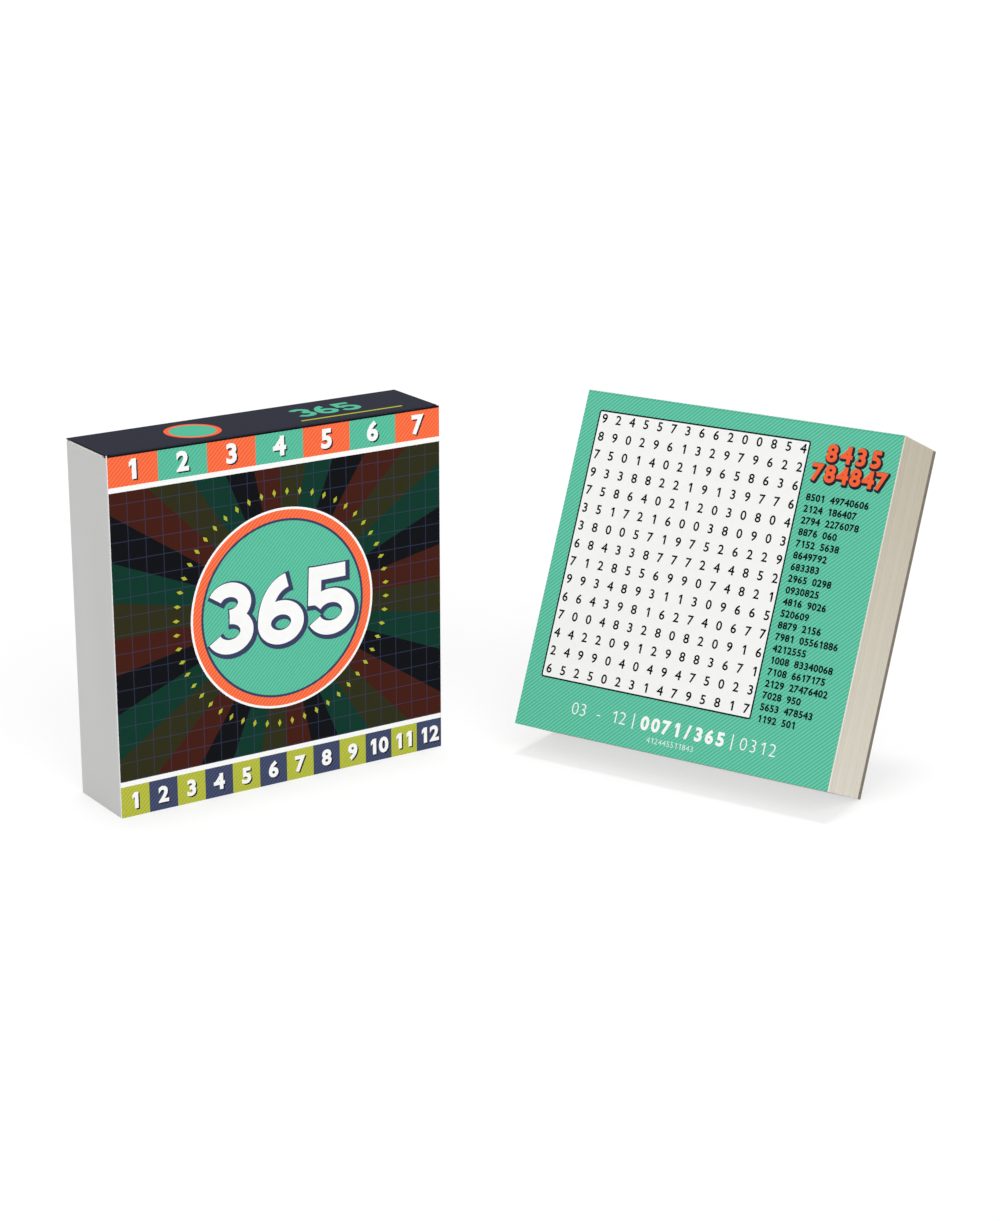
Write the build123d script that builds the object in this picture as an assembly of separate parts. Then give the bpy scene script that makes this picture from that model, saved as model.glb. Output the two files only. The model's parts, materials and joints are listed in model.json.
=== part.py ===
from build123d import *
import math
import os

# Boxed tear-off day calendar: a padded block of leaves on an easel board, standing beside its
# tuck-top carton. Millimetres, +Z up, the floor at Z = 0, the carton's printed front towards -Y.

# Leaves, as trimmed
PAGE_WIDTH = 133.0
PAGE_HEIGHT = 131.0
LEAF_THICKNESS = 0.088
LEAVES_PER_MONTH = 26
MONTHS = (
    "january", "february", "march", "april", "may", "june",
    "july", "august", "september", "october", "november", "december",
)
# Leaves at the front that can be lifted one by one, first leaf first
LOOSE_LEAVES = ("today", "next", "third")

# Padding compound that binds the top edge
GLUE_FILM_THICKNESS = 0.4
GLUE_FILM_ROUNDING = 0.25
GLUE_LINE_HEIGHT = 0.5
GLUE_LINE_GAP = 0.05

# Easel board and the leg that is die-cut from it
BOARD_THICKNESS = 2.6
LEAN_ANGLE = 23.5
LEG_OPEN_ANGLE = 36.0
LEG_HINGE_HEIGHT = 104.0
LEG_TOP_WIDTH = 22.0
LEG_FOOT_WIDTH = 27.0
LEG_FOOT_RADIUS = 4.0
LEG_FACE_GAP = 0.2
LEG_CUT_GAP = 0.4
LEG_CREASE_GAP = 0.1

# Carton card and the room that it leaves round the calendar
CARD = 0.5
CARTON_SIDE_ROOM = 1.5
CARTON_DEPTH_ROOM = 1.3
CARTON_HEIGHT_ROOM = 0.5
CREASE_RADIUS = 0.8
SEAM_WIDTH = 14.0
SEAM_END_TAPER = 5.0

# Carton flaps
LAYER_GAP = 0.1
HINGE_GAP = 0.25
HINGE_DROP = 0.1
CLOSURE_SIDE_GAP = 0.2
LIP_GAP = 0.3
LIP_LENGTH = 10.5
LIP_TILT = 10.0
LIP_SIDE_SETBACK = 2.0
LIP_CORNER_RADIUS = 5.0
DUST_FLAP_LENGTH = 18.0
DUST_FRONT_SETBACK = 3.2
DUST_BACK_SETBACK = 1.0
DUST_FRONT_TAPER = 1.5
DUST_CORNER_RADIUS = 2.0
SEAL_FLAP_LENGTH = 28.0
SEAL_FLAP_TAPER = 3.0
INNER_SEAL_SETBACK = 5.0
FLAP_SIDE_GAP = 0.3

# Where the calendar stands: from the carton's front right corner to the block's front left one
STAND_GAP_X = 19.0
STAND_GAP_Y = -22.0
CALENDAR_YAW = -67.0

STACK_DEPTH = LEAF_THICKNESS * LEAVES_PER_MONTH * len(MONTHS)
CALENDAR_DEPTH = STACK_DEPTH + BOARD_THICKNESS
LEAF_TOP = PAGE_HEIGHT - GLUE_LINE_HEIGHT - GLUE_LINE_GAP
LEG_THICKNESS = BOARD_THICKNESS - LEG_FACE_GAP
FOOT_ANGLE = math.radians(LEG_OPEN_ANGLE - LEAN_ANGLE)
LEG_LENGTH = LEG_HINGE_HEIGHT * math.cos(math.radians(LEAN_ANGLE)) / math.cos(FOOT_ANGLE)

TOP_LAYERS = 2 * CARD + LAYER_GAP
BOTTOM_LAYERS = 3 * CARD
CARTON_WIDTH = PAGE_WIDTH + 2 * (CARD + CARTON_SIDE_ROOM)
CARTON_DEPTH = CALENDAR_DEPTH + 2 * CARD + CARTON_DEPTH_ROOM
CALENDAR_HEIGHT = PAGE_HEIGHT + GLUE_FILM_THICKNESS
CARTON_HEIGHT = BOTTOM_LAYERS + CALENDAR_HEIGHT + CARTON_HEIGHT_ROOM + TOP_LAYERS
INNER_WIDTH = CARTON_WIDTH - 2 * CARD
INNER_DEPTH = CARTON_DEPTH - 2 * CARD
CLOSURE_BOTTOM = CARTON_HEIGHT - CARD
DUST_BOTTOM = CARTON_HEIGHT - TOP_LAYERS
LOW_CORNER = (Align.MIN, Align.MIN, Align.MIN)


def slab(low, high):
    """A rectangular sheet between two opposite corners."""
    size = [b - a for a, b in zip(low, high)]
    return Pos(*low) * Box(*size, align=LOW_CORNER)


def leaf_front(index):
    """Depth of the front face of a leaf, counted from the first; the board's back face is at zero."""
    return index * LEAF_THICKNESS - CALENDAR_DEPTH


def leaf_stack(first, count, top):
    """A run of leaves, flush at the sides and the bottom."""
    return slab((0, leaf_front(first), 0), (PAGE_WIDTH, leaf_front(first + count), top))


def month_pads():
    """The twelve month pads; the loose leaves are taken off the front of the first."""
    pads = {}
    for month, name in enumerate(MONTHS):
        loose = len(LOOSE_LEAVES) if month == 0 else 0
        first = month * LEAVES_PER_MONTH + loose
        pads[f"{name}_pad"] = leaf_stack(first, LEAVES_PER_MONTH - loose, PAGE_HEIGHT)
    return pads


def loose_leaves():
    """The front leaves, each a single sheet that ends below its glue line."""
    return {f"{name}_leaf": leaf_stack(i, 1, LEAF_TOP) for i, name in enumerate(LOOSE_LEAVES)}


def glue_line():
    """The line of glue along the first leaf's top edge, which bends as the leaf is lifted."""
    low = (0, leaf_front(0), PAGE_HEIGHT - GLUE_LINE_HEIGHT)
    return slab(low, (PAGE_WIDTH, leaf_front(1), PAGE_HEIGHT))


def glue_film():
    """The film of padding compound brushed over the pads and the board along the top edge."""
    low = (0, leaf_front(len(LOOSE_LEAVES)), PAGE_HEIGHT)
    film = slab(low, (PAGE_WIDTH, 0, PAGE_HEIGHT + GLUE_FILM_THICKNESS))
    return fillet(film.faces().sort_by(Axis.Z)[-1].edges(), GLUE_FILM_ROUNDING)


def leg_outline(grow):
    """The leg's tapered, round-footed outline on the board's back, grown by a gap on its cut sides."""
    middle = PAGE_WIDTH / 2
    half_top = LEG_TOP_WIDTH / 2 + grow
    half_foot = LEG_FOOT_WIDTH / 2 + grow
    low = LEG_HINGE_HEIGHT - LEG_LENGTH - grow
    outline = Polyline(
        (middle - half_top, LEG_HINGE_HEIGHT),
        (middle - half_foot, low),
        (middle + half_foot, low),
        (middle + half_top, LEG_HINGE_HEIGHT),
        close=True,
    )
    face = make_face(outline)
    foot_corners = face.vertices().sort_by(Axis.Y)[:2]
    return Plane.XZ * fillet(foot_corners, LEG_FOOT_RADIUS + grow)


def back_board():
    """The greyboard back, with the window that the leg is cut from."""
    board = slab((0, -BOARD_THICKNESS, 0), (PAGE_WIDTH, 0, PAGE_HEIGHT))
    return board - extrude(leg_outline(LEG_CUT_GAP), BOARD_THICKNESS)


def easel_leg():
    """The leg swung open about its crease, with its foot cut level with the floor."""
    leg = extrude(leg_outline(0), LEG_THICKNESS)
    crease_trim = slab(
        (0, -LEG_THICKNESS, LEG_HINGE_HEIGHT - LEG_CREASE_GAP),
        (PAGE_WIDTH, 0, LEG_HINGE_HEIGHT),
    )
    crease = Axis((0, 0, LEG_HINGE_HEIGHT), (1, 0, 0))
    opened = (leg - crease_trim).rotate(crease, LEG_OPEN_ANGLE)
    lean = math.radians(LEAN_ANGLE)
    floor = Plane((0, 0, 0), x_dir=(1, 0, 0), z_dir=(0, -math.sin(lean), math.cos(lean)))
    return split(opened, bisect_by=floor, keep=Keep.TOP)


def carton_sleeve():
    """The four glued walls: one folded card with creased corners and a seam flap inside the back."""
    outside = RectangleRounded(CARTON_WIDTH, CARTON_DEPTH, CREASE_RADIUS)
    inside = RectangleRounded(INNER_WIDTH, INNER_DEPTH, CREASE_RADIUS - CARD)
    walls = extrude(outside - inside, CARTON_HEIGHT)
    front_inner = -INNER_DEPTH / 2
    back_inner = INNER_DEPTH / 2
    side_top = DUST_BOTTOM - HINGE_DROP
    back_top = CLOSURE_BOTTOM - HINGE_DROP
    half_width = CARTON_WIDTH / 2
    side_cut = slab((-half_width, front_inner, side_top), (half_width, back_inner, CARTON_HEIGHT))
    back_cut = slab((-half_width, back_inner, back_top), (half_width, CARTON_DEPTH / 2, CARTON_HEIGHT))
    seam_right = INNER_WIDTH / 2
    seam_left = seam_right - SEAM_WIDTH
    seam_low = BOTTOM_LAYERS + FLAP_SIDE_GAP
    seam_high = side_top - FLAP_SIDE_GAP
    seam_face = make_face(
        Polyline(
            (seam_right, seam_low),
            (seam_right, seam_high),
            (seam_left, seam_high - SEAM_END_TAPER),
            (seam_left, seam_low + SEAM_END_TAPER),
            close=True,
        )
    )
    seam = extrude(Plane.XZ.offset(-back_inner) * seam_face, CARD)
    return walls - side_cut - back_cut + seam


def tuck_closure():
    """The top panel and its tuck lip: one bent card, the lip leaning inwards behind the front wall."""
    tilt = math.radians(LIP_TILT)
    front = LIP_GAP - INNER_DEPTH / 2
    back = INNER_DEPTH / 2 - HINGE_GAP
    tip = (front + LIP_LENGTH * math.sin(tilt), CARTON_HEIGHT - LIP_LENGTH * math.cos(tilt))
    tip_inner = (tip[0] + CARD * math.cos(tilt), tip[1] + CARD * math.sin(tilt))
    bend_inner = (tip_inner[0] - (CLOSURE_BOTTOM - tip_inner[1]) * math.tan(tilt), CLOSURE_BOTTOM)
    profile = make_face(
        Polyline(
            (back, CARTON_HEIGHT),
            (front, CARTON_HEIGHT),
            tip,
            tip_inner,
            bend_inner,
            (back, CLOSURE_BOTTOM),
            close=True,
        )
    )
    bend = profile.vertices().sort_by_distance((front, CARTON_HEIGHT, 0))[0]
    half_width = CARTON_WIDTH / 2 - CLOSURE_SIDE_GAP
    bent = extrude(Plane.YZ * fillet(bend, CREASE_RADIUS), half_width, both=True)
    lip_width = INNER_WIDTH - 2 * LIP_SIDE_SETBACK
    panel_face = Pos(0, CARTON_HEIGHT - CARD / 2) * Rectangle(2 * half_width, CARD)
    lip_height = LIP_LENGTH + LIP_CORNER_RADIUS
    lip_middle = tip[1] + lip_height / 2
    lip_face = Pos(0, lip_middle) * RectangleRounded(lip_width, lip_height, LIP_CORNER_RADIUS)
    seen_from_front = extrude(Plane.XZ * (panel_face + lip_face), CARTON_DEPTH, both=True)
    return bent & seen_from_front


def dust_flaps():
    """The two side flaps under the closure, relieved at 45 degrees on the closure's hinge side."""
    hinge = -INNER_WIDTH / 2
    tip = hinge + DUST_FLAP_LENGTH
    front = DUST_FRONT_SETBACK - INNER_DEPTH / 2
    back = INNER_DEPTH / 2 - DUST_BACK_SETBACK
    outline = make_face(
        Polyline(
            (hinge + HINGE_GAP, front),
            (tip, front + DUST_FRONT_TAPER),
            (tip, back - DUST_FLAP_LENGTH),
            (hinge + HINGE_GAP, back - HINGE_GAP),
            close=True,
        )
    )
    outline = fillet(outline.vertices().group_by(Axis.X)[-1], DUST_CORNER_RADIUS)
    left = Pos(0, 0, DUST_BOTTOM) * extrude(outline, CARD)
    return {"left_dust_flap": left, "right_dust_flap": mirror(left, about=Plane.YZ)}


def seal_flaps():
    """The glued bottom: an outer and an inner long flap below two short side flaps."""
    left = -INNER_WIDTH / 2
    front = -INNER_DEPTH / 2
    outer = slab((left + FLAP_SIDE_GAP, front, 0), (-left - FLAP_SIDE_GAP, -front - FLAP_SIDE_GAP, CARD))
    inner = slab(
        (left + FLAP_SIDE_GAP, front + INNER_SEAL_SETBACK, CARD),
        (-left - FLAP_SIDE_GAP, -front, 2 * CARD),
    )
    side_face = make_face(
        Polyline(
            (left, front + FLAP_SIDE_GAP),
            (left + SEAL_FLAP_LENGTH, front + SEAL_FLAP_TAPER),
            (left + SEAL_FLAP_LENGTH, -front - SEAL_FLAP_TAPER),
            (left, -front - FLAP_SIDE_GAP),
            close=True,
        )
    )
    side = Pos(0, 0, 2 * CARD) * extrude(side_face, CARD)
    return {
        "bottom_outer_flap": outer,
        "bottom_inner_flap": inner,
        "bottom_left_flap": side,
        "bottom_right_flap": mirror(side, about=Plane.YZ),
    }


def calendar_place():
    """Stands the block on its lower back edge, leaning back, with its front corner at the stand gap."""
    corner = Vector(CARTON_WIDTH / 2 + STAND_GAP_X, STAND_GAP_Y - CARTON_DEPTH / 2, 0)
    reach = CALENDAR_DEPTH * math.cos(math.radians(LEAN_ANGLE))
    back_corner = corner + Vector(0, reach, 0).rotate(Axis.Z, CALENDAR_YAW)
    return Pos(*back_corner) * Rot(0, 0, CALENDAR_YAW) * Rot(-LEAN_ANGLE, 0, 0)


def hinge_lines():
    """Each turning or sliding piece's line: its place, a point on it and its positive direction."""
    back_edge = INNER_DEPTH / 2
    side_edge = INNER_WIDTH / 2
    lines = {
        "easel_fold": ("calendar", (PAGE_WIDTH / 2, 0, LEG_HINGE_HEIGHT), (1, 0, 0)),
        "tear_off": ("calendar", (PAGE_WIDTH / 2, leaf_front(0), PAGE_HEIGHT / 2), (0, -1, 0)),
        "closure_open": ("carton", (0, back_edge, CLOSURE_BOTTOM), (-1, 0, 0)),
        "left_flap_open": ("carton", (-side_edge, 0, DUST_BOTTOM), (0, -1, 0)),
        "right_flap_open": ("carton", (side_edge, 0, DUST_BOTTOM), (0, 1, 0)),
    }
    for i, name in enumerate(LOOSE_LEAVES):
        lines[f"{name}_lift"] = ("calendar", (PAGE_WIDTH / 2, leaf_front(i + 1), PAGE_HEIGHT), (-1, 0, 0))
    return lines


calendar = {
    "back_board": back_board(),
    "easel_leg": easel_leg(),
    "glue_film": glue_film(),
    "today_glue_line": glue_line(),
    **month_pads(),
    **loose_leaves(),
}
carton = {
    "carton_sleeve": carton_sleeve(),
    "tuck_closure": tuck_closure(),
    **dust_flaps(),
    **seal_flaps(),
}

stand = calendar_place()
nodes = {name: stand * piece for name, piece in calendar.items()}
nodes.update(carton)

# The origin goes to the middle of the whole set, on the floor
box = Compound(children=[Compound(piece.solids()) for piece in nodes.values()]).bounding_box()
centre = Pos(-box.center().X, -box.center().Y, 0)
places = {"calendar": centre * stand, "carton": centre}

os.makedirs("parts", exist_ok=True)
for name, piece in nodes.items():
    export_step(centre * piece, f"parts/{name}.step")

print(f"set {box.size.X:.2f} x {box.size.Y:.2f} x {box.size.Z:.2f} mm, lowest point {box.min.Z:.4f}")
print(f"carton {CARTON_WIDTH:.2f} x {CARTON_DEPTH:.2f} x {CARTON_HEIGHT:.2f} mm")
print(f"block {CALENDAR_DEPTH:.2f} mm deep")
for name, (owner, point, direction) in hinge_lines().items():
    place = places[owner]
    start = place * Pos(*point)
    end = place * Pos(*[a + b for a, b in zip(point, direction)])
    along = end.position - start.position
    print(name, [round(v, 5) for v in start.position], [round(v, 7) for v in along])
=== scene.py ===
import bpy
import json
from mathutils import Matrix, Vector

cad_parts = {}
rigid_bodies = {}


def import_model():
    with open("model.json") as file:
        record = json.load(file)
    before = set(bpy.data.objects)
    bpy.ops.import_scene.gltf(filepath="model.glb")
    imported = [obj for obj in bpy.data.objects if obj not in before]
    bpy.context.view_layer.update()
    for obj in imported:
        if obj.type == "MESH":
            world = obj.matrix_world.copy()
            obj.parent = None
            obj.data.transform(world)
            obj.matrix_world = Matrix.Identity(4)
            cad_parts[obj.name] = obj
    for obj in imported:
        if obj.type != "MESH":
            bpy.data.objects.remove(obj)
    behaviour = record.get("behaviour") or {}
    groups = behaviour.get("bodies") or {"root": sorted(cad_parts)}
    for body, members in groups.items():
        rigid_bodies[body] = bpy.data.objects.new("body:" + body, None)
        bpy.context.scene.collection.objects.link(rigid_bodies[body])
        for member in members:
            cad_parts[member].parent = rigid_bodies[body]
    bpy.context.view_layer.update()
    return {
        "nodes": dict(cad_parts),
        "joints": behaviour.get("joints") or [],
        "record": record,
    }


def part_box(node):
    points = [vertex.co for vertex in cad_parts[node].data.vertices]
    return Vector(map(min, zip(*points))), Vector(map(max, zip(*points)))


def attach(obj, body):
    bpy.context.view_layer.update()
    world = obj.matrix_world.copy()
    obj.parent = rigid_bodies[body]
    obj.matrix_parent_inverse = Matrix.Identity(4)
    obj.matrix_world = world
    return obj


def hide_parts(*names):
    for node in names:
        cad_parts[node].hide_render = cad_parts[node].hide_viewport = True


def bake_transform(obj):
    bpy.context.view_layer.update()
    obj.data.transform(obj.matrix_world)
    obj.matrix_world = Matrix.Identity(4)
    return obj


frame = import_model()

import json
import logging
import math
from dataclasses import dataclass, field
from enum import Enum
from typing import Any, Callable, Optional, Sequence, Union

import bpy
import numpy as np
from mathutils import Matrix, Vector

# A boxed tear-off day calendar: a padded block of leaves on an easel board, beside its tuck-top
# carton. Lengths are millimetres until a mesh is made, which is in metres, in the model's own frame.

LOG = logging.getLogger("day_calendar")
MM = 0.001
SEED = 365
NUMERALS = "0123456789"
YEAR_DAYS = "365"
# Printed shapes reach this far to either side of their own plane until they become a film of ink.
HALF_UNIT = 0.5
# The display curve: a straight foot up to a limit, and a power of the shifted value above it.
CURVE_LIMIT = 0.04045
CURVE_SLOPE = 12.92
CURVE_SHIFT = 0.055
CURVE_POWER = 2.4
BRIGHTEST = 255.0


class Ink(Enum):
    """Print and paper colours, as 8-bit display values."""

    MINT = (80, 177, 145)
    MINT_LINE = (108, 200, 172)
    ORANGE = (240, 98, 56)
    ORANGE_LINE = (250, 132, 92)
    LIME = (172, 177, 54)
    LIME_LINE = (190, 194, 92)
    NAVY = (58, 66, 96)
    NAVY_LINE = (82, 90, 118)
    CHARCOAL = (36, 38, 50)
    BLACK = (17, 18, 22)
    UMBER = (66, 30, 22)
    BOTTLE = (17, 54, 43)
    OLIVE = (46, 46, 26)
    WHITE = (243, 243, 242)
    PAPER = (240, 240, 239)
    CREAM = (185, 175, 154)
    CREAM_PALE = (224, 220, 209)
    CARD = (244, 244, 243)
    CARD_INSIDE = (229, 228, 223)
    GREYBOARD = (124, 116, 104)
    GREYBOARD_FLECK = (92, 85, 76)
    GREYBOARD_PALE = (150, 142, 130)
    GLUE = (230, 229, 225)

    @property
    def rgba(self) -> tuple[float, float, float, float]:
        """The colour as linear light, by the display curve.

        Returns:
            Red, green and blue, with full alpha.
        """
        share = np.array(self.value) / BRIGHTEST
        power = ((share + CURVE_SHIFT) / (1.0 + CURVE_SHIFT)) ** CURVE_POWER
        light = np.where(share <= CURVE_LIMIT, share / CURVE_SLOPE, power)
        return (*light.tolist(), 1.0)


def operator(operation: str, reflected: bool = False) -> Callable[["Value", "Operand"], "Value"]:
    """Makes one of a socket's operators out of a Math node's operation.

    Args:
        operation: The Math node's operation.
        reflected: Whether the other value comes first.

    Returns:
        The operator's method.
    """

    def method(value: "Value", other: "Operand") -> "Value":
        """Adds the node with both values, in the operator's order."""
        pair = (other, value) if reflected else (value, other)
        return value.shader.add("ShaderNodeMath", {"operation": operation}, dict(enumerate(pair)))

    return method


class Value:
    """A shader socket that takes part in Python expressions; each operator adds one Math node.

    A product of two masks is where they meet, and | is where either of them is.
    """

    __add__ = operator("ADD")
    __radd__ = operator("ADD", reflected=True)
    __sub__ = operator("SUBTRACT")
    __rsub__ = operator("SUBTRACT", reflected=True)
    __mul__ = operator("MULTIPLY")
    __truediv__ = operator("DIVIDE")
    __mod__ = operator("FLOORED_MODULO")
    __lt__ = operator("LESS_THAN")
    __gt__ = operator("GREATER_THAN")
    __or__ = operator("MAXIMUM")
    highest = operator("MAXIMUM")
    lowest = operator("MINIMUM")
    angle_over = operator("ARCTAN2")

    def __init__(self, shader: "Nodes", socket: bpy.types.NodeSocket) -> None:
        """Keeps the socket and the shader that it belongs to."""
        self.shader = shader
        self.socket = socket

    def math(self, operation: str) -> "Value":
        """The result of a Math node that takes this value alone."""
        return self.shader.add("ShaderNodeMath", {"operation": operation}, {0: self})

    def __abs__(self) -> "Value":
        """The distance from zero."""
        return self.math("ABSOLUTE")

    def floor(self) -> "Value":
        """The whole number below."""
        return self.math("FLOOR")

    def fract(self) -> "Value":
        """What is left above the whole number below."""
        return self.math("FRACT")

    def length(self, other: "Value") -> "Value":
        """The hypotenuse of this value and another."""
        return (self * self + other * other).math("SQRT")


Operand = Union[Value, float]
Colour = Union[Value, Ink]


def paint(colour: Colour) -> Union[Value, tuple]:
    """What a colour socket takes: an ink as linear light, or another socket as it is."""
    return colour.rgba if isinstance(colour, Ink) else colour


class Nodes:
    """A node tree that takes any node through one method."""

    RAMP_STOPS = "stops"

    def __init__(self, owner: Union[bpy.types.Material, bpy.types.World]) -> None:
        """Empties a node tree and keeps it.

        Args:
            owner: What the node tree belongs to.
        """
        owner.use_nodes = True
        self.tree = owner.node_tree
        self.tree.nodes.clear()

    def add(
        self,
        kind: str,
        settings: Optional[dict[str, Any]] = None,
        inputs: Optional[dict[Any, Any]] = None,
        output: Union[int, str] = 0,
    ) -> Value:
        """Adds any node: its settings first, then the values or links of its sockets.

        Args:
            kind: The node's type.
            settings: The node's own properties; "stops" is a list of a ramp's (place, colour) pairs.
            inputs: Socket keys with a Value to link or a plain value to set.
            output: The key of the socket to return.

        Returns:
            The chosen output.
        """
        node = self.tree.nodes.new(kind)
        for key, setting in (settings or {}).items():
            if key == self.RAMP_STOPS:
                self._set_stops(node.color_ramp, setting)
            else:
                setattr(node, key, setting)
        for key, given in (inputs or {}).items():
            if isinstance(given, Value):
                self.tree.links.new(given.socket, node.inputs[key])
            else:
                node.inputs[key].default_value = given
        return Value(self, node.outputs[output])

    @staticmethod
    def _set_stops(ramp: bpy.types.ColorRamp, stops: Sequence[tuple[float, tuple]]) -> None:
        """Gives a ramp flat steps: each colour holds from its place to the next.

        Args:
            ramp: The ramp.
            stops: Each step's place and colour, in order.
        """
        ramp.interpolation = "CONSTANT"
        while len(ramp.elements) < len(stops):
            ramp.elements.new(1.0)
        for element, (place, colour) in zip(ramp.elements, stops):
            element.position = place
            element.color = colour

    def end(self, kind: str, surface: Value) -> None:
        """Links a surface to a new output node."""
        target = self.tree.nodes.new(kind)
        self.tree.links.new(surface.socket, target.inputs["Surface"])


@dataclass(frozen=True)
class Surface:
    """How a finish takes the light, apart from its colour.

    A grain adds up to the spread to the roughness, and raises the surface by the relief, in
    millimetres. The gloss is the specular level, the same all over.
    """

    roughness: float
    spread: float
    relief: float
    gloss: float


class Shader(Nodes):
    """One material and the nodes that give its finish.

    A Mix node has a set of sockets for each kind of data, so those for colours go by number.
    """

    MIX_FACTOR = 0
    MIX_FIRST = 6
    MIX_SECOND = 7
    MIX_RESULT = 2

    def __init__(self, name: str) -> None:
        """Starts an empty material under a plain name."""
        self.material = bpy.data.materials.new(name)
        super().__init__(self.material)

    def split(self, point: Value) -> list[Value]:
        """A vector's three values."""
        parts = self.add("ShaderNodeSeparateXYZ", None, {0: point})
        return [Value(self, socket) for socket in parts.socket.node.outputs]

    def place(self) -> list[Value]:
        """The point's place in the model's frame, as three values in millimetres."""
        point = self.add("ShaderNodeTexCoord", output="Object")
        return [value / MM for value in self.split(point)]

    def along(self, axis: np.ndarray, start: np.ndarray) -> Value:
        """How far the point lies along an axis.

        Args:
            axis: The axis, a unit long.
            start: The point to measure from.

        Returns:
            The distance in millimetres.
        """
        x, y, z = self.place()
        run_x, run_y, run_z = axis.tolist()
        return x * run_x + y * run_y + z * run_z - float(axis @ start)

    def page(self, width: float, height: float) -> list[Value]:
        """The point's place on its own leaf, from the lower left corner.

        Args:
            width: The leaf's width.
            height: The leaf's height.

        Returns:
            The places across and up, in millimetres.
        """
        point = self.add("ShaderNodeUVMap", {"uv_map": Shape.PAGE_MAP})
        across, up, _ = self.split(point)
        return [across * width, up * height]

    def attribute(self, name: str) -> Value:
        """A number that the piece's mesh carries."""
        return self.add("ShaderNodeAttribute", {"attribute_name": name}, output="Fac")

    def noise(self, size: float, stretch: tuple = (1.0, 1.0, 1.0), detail: float = 3.0) -> Value:
        """Soft mottling, from zero to one.

        Args:
            size: The blotches' width in millimetres.
            stretch: How many times longer a blotch is along each axis.
            detail: The octaves of finer mottling.

        Returns:
            The noise value.
        """
        scale = tuple(1.0 / (size * MM * factor) for factor in stretch)
        point = self.add("ShaderNodeTexCoord", output="Object")
        spread = self.add("ShaderNodeMapping", None, {"Vector": point, "Scale": scale})
        return self.add("ShaderNodeTexNoise", None, {"Vector": spread, "Scale": 1.0, "Detail": detail})

    @staticmethod
    def hairlines(across: Value, up: Value, pitch: float, share: float) -> Value:
        """A mask of fine lines that climb to the right at 45 degrees, each a share of the pitch wide."""
        return ((across - up) / (pitch * math.sqrt(2.0))).fract() < share

    def mix(self, first: Colour, second: Colour, factor: Operand, mode: str = "MIX") -> Value:
        """One colour over another.

        Args:
            first: The colour where the factor is zero.
            second: The colour that comes in as the factor rises to one.
            factor: The factor.
            mode: How the second colour goes over the first.

        Returns:
            The mixed colour.
        """
        settings = {"data_type": "RGBA", "blend_type": mode}
        inputs = {self.MIX_FACTOR: factor, self.MIX_FIRST: paint(first), self.MIX_SECOND: paint(second)}
        return self.add("ShaderNodeMix", settings, inputs, self.MIX_RESULT)

    def shade(self, colour: Colour, grain: Value, amount: float) -> Value:
        """A colour made darker and lighter about its own level by a grain.

        Args:
            colour: The colour.
            grain: The grain, from zero to one.
            amount: How far apart the darkest and the lightest factor are.

        Returns:
            The mottled colour.
        """
        change = grain * amount + (1.0 - amount / 2)
        grey = self.add("ShaderNodeCombineColor", None, {0: change, 1: change, 2: change})
        return self.mix(colour, grey, 1.0, "MULTIPLY")

    def finish(
        self, colour: Colour, surface: Surface, grain: Value, height: Optional[Value] = None
    ) -> bpy.types.Material:
        """Ends the material in one surface shader.

        Args:
            colour: The base colour.
            surface: How it takes the light.
            grain: The grain that varies the roughness.
            height: The grain that raises the surface, if it is another one.

        Returns:
            The finished material.
        """
        inputs = {
            "Base Color": paint(colour),
            "Roughness": surface.roughness + grain * surface.spread,
            "Specular IOR Level": surface.gloss,
        }
        if surface.relief > 0.0:
            bump = {"Height": height or grain, "Strength": 1.0, "Distance": surface.relief * MM}
            inputs["Normal"] = self.add("ShaderNodeBump", None, bump)
        self.end("ShaderNodeOutputMaterial", self.add("ShaderNodeBsdfPrincipled", None, inputs))
        return self.material


@dataclass(frozen=True)
class InkFilm:
    """A film of one printing ink, with the slight mottle of ink on paper."""

    ink: Ink
    mottle: float = 0.08
    mottle_size: float = 2.5
    surface: Surface = Surface(roughness=0.58, spread=0.04, relief=0.0, gloss=0.02)

    def material(self) -> bpy.types.Material:
        """Builds the ink's material.

        Returns:
            The material.
        """
        shader = Shader(f"ink_{self.ink.name.lower()}")
        grain = shader.noise(self.mottle_size)
        return shader.finish(shader.shade(self.ink, grain, self.mottle), self.surface, grain)


@dataclass(frozen=True)
class PageStock:
    """Uncoated page paper, seen mostly at its cut edges, where each sheet has its own tone with painted
    light in it.
    """

    fibre_size: float = 0.35
    fibre_stretch: tuple = (1.0, 1.0, 5.0)
    tone_share: float = 0.8
    surface: Surface = Surface(roughness=0.8, spread=0.1, relief=0.02, gloss=0.1)

    def material(self) -> bpy.types.Material:
        """Builds the page paper: cream at tone zero, pale at one and paper white at two.

        Returns:
            The material.
        """
        shader = Shader("page_paper")
        # The tone is each sheet's random tone plus painted light: paler at the foot and whitest in the
        # block's first sheets.
        tone = shader.attribute(PageBlock.TONE)
        fibre = shader.noise(self.fibre_size, self.fibre_stretch)
        paleness = tone * self.tone_share + fibre * (1.0 - self.tone_share)
        colour = shader.mix(Ink.CREAM, Ink.CREAM_PALE, paleness)
        colour = shader.mix(colour, Ink.PAPER, (tone - 1.0).highest(0.0))
        return shader.finish(colour, self.surface, fibre)


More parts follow.
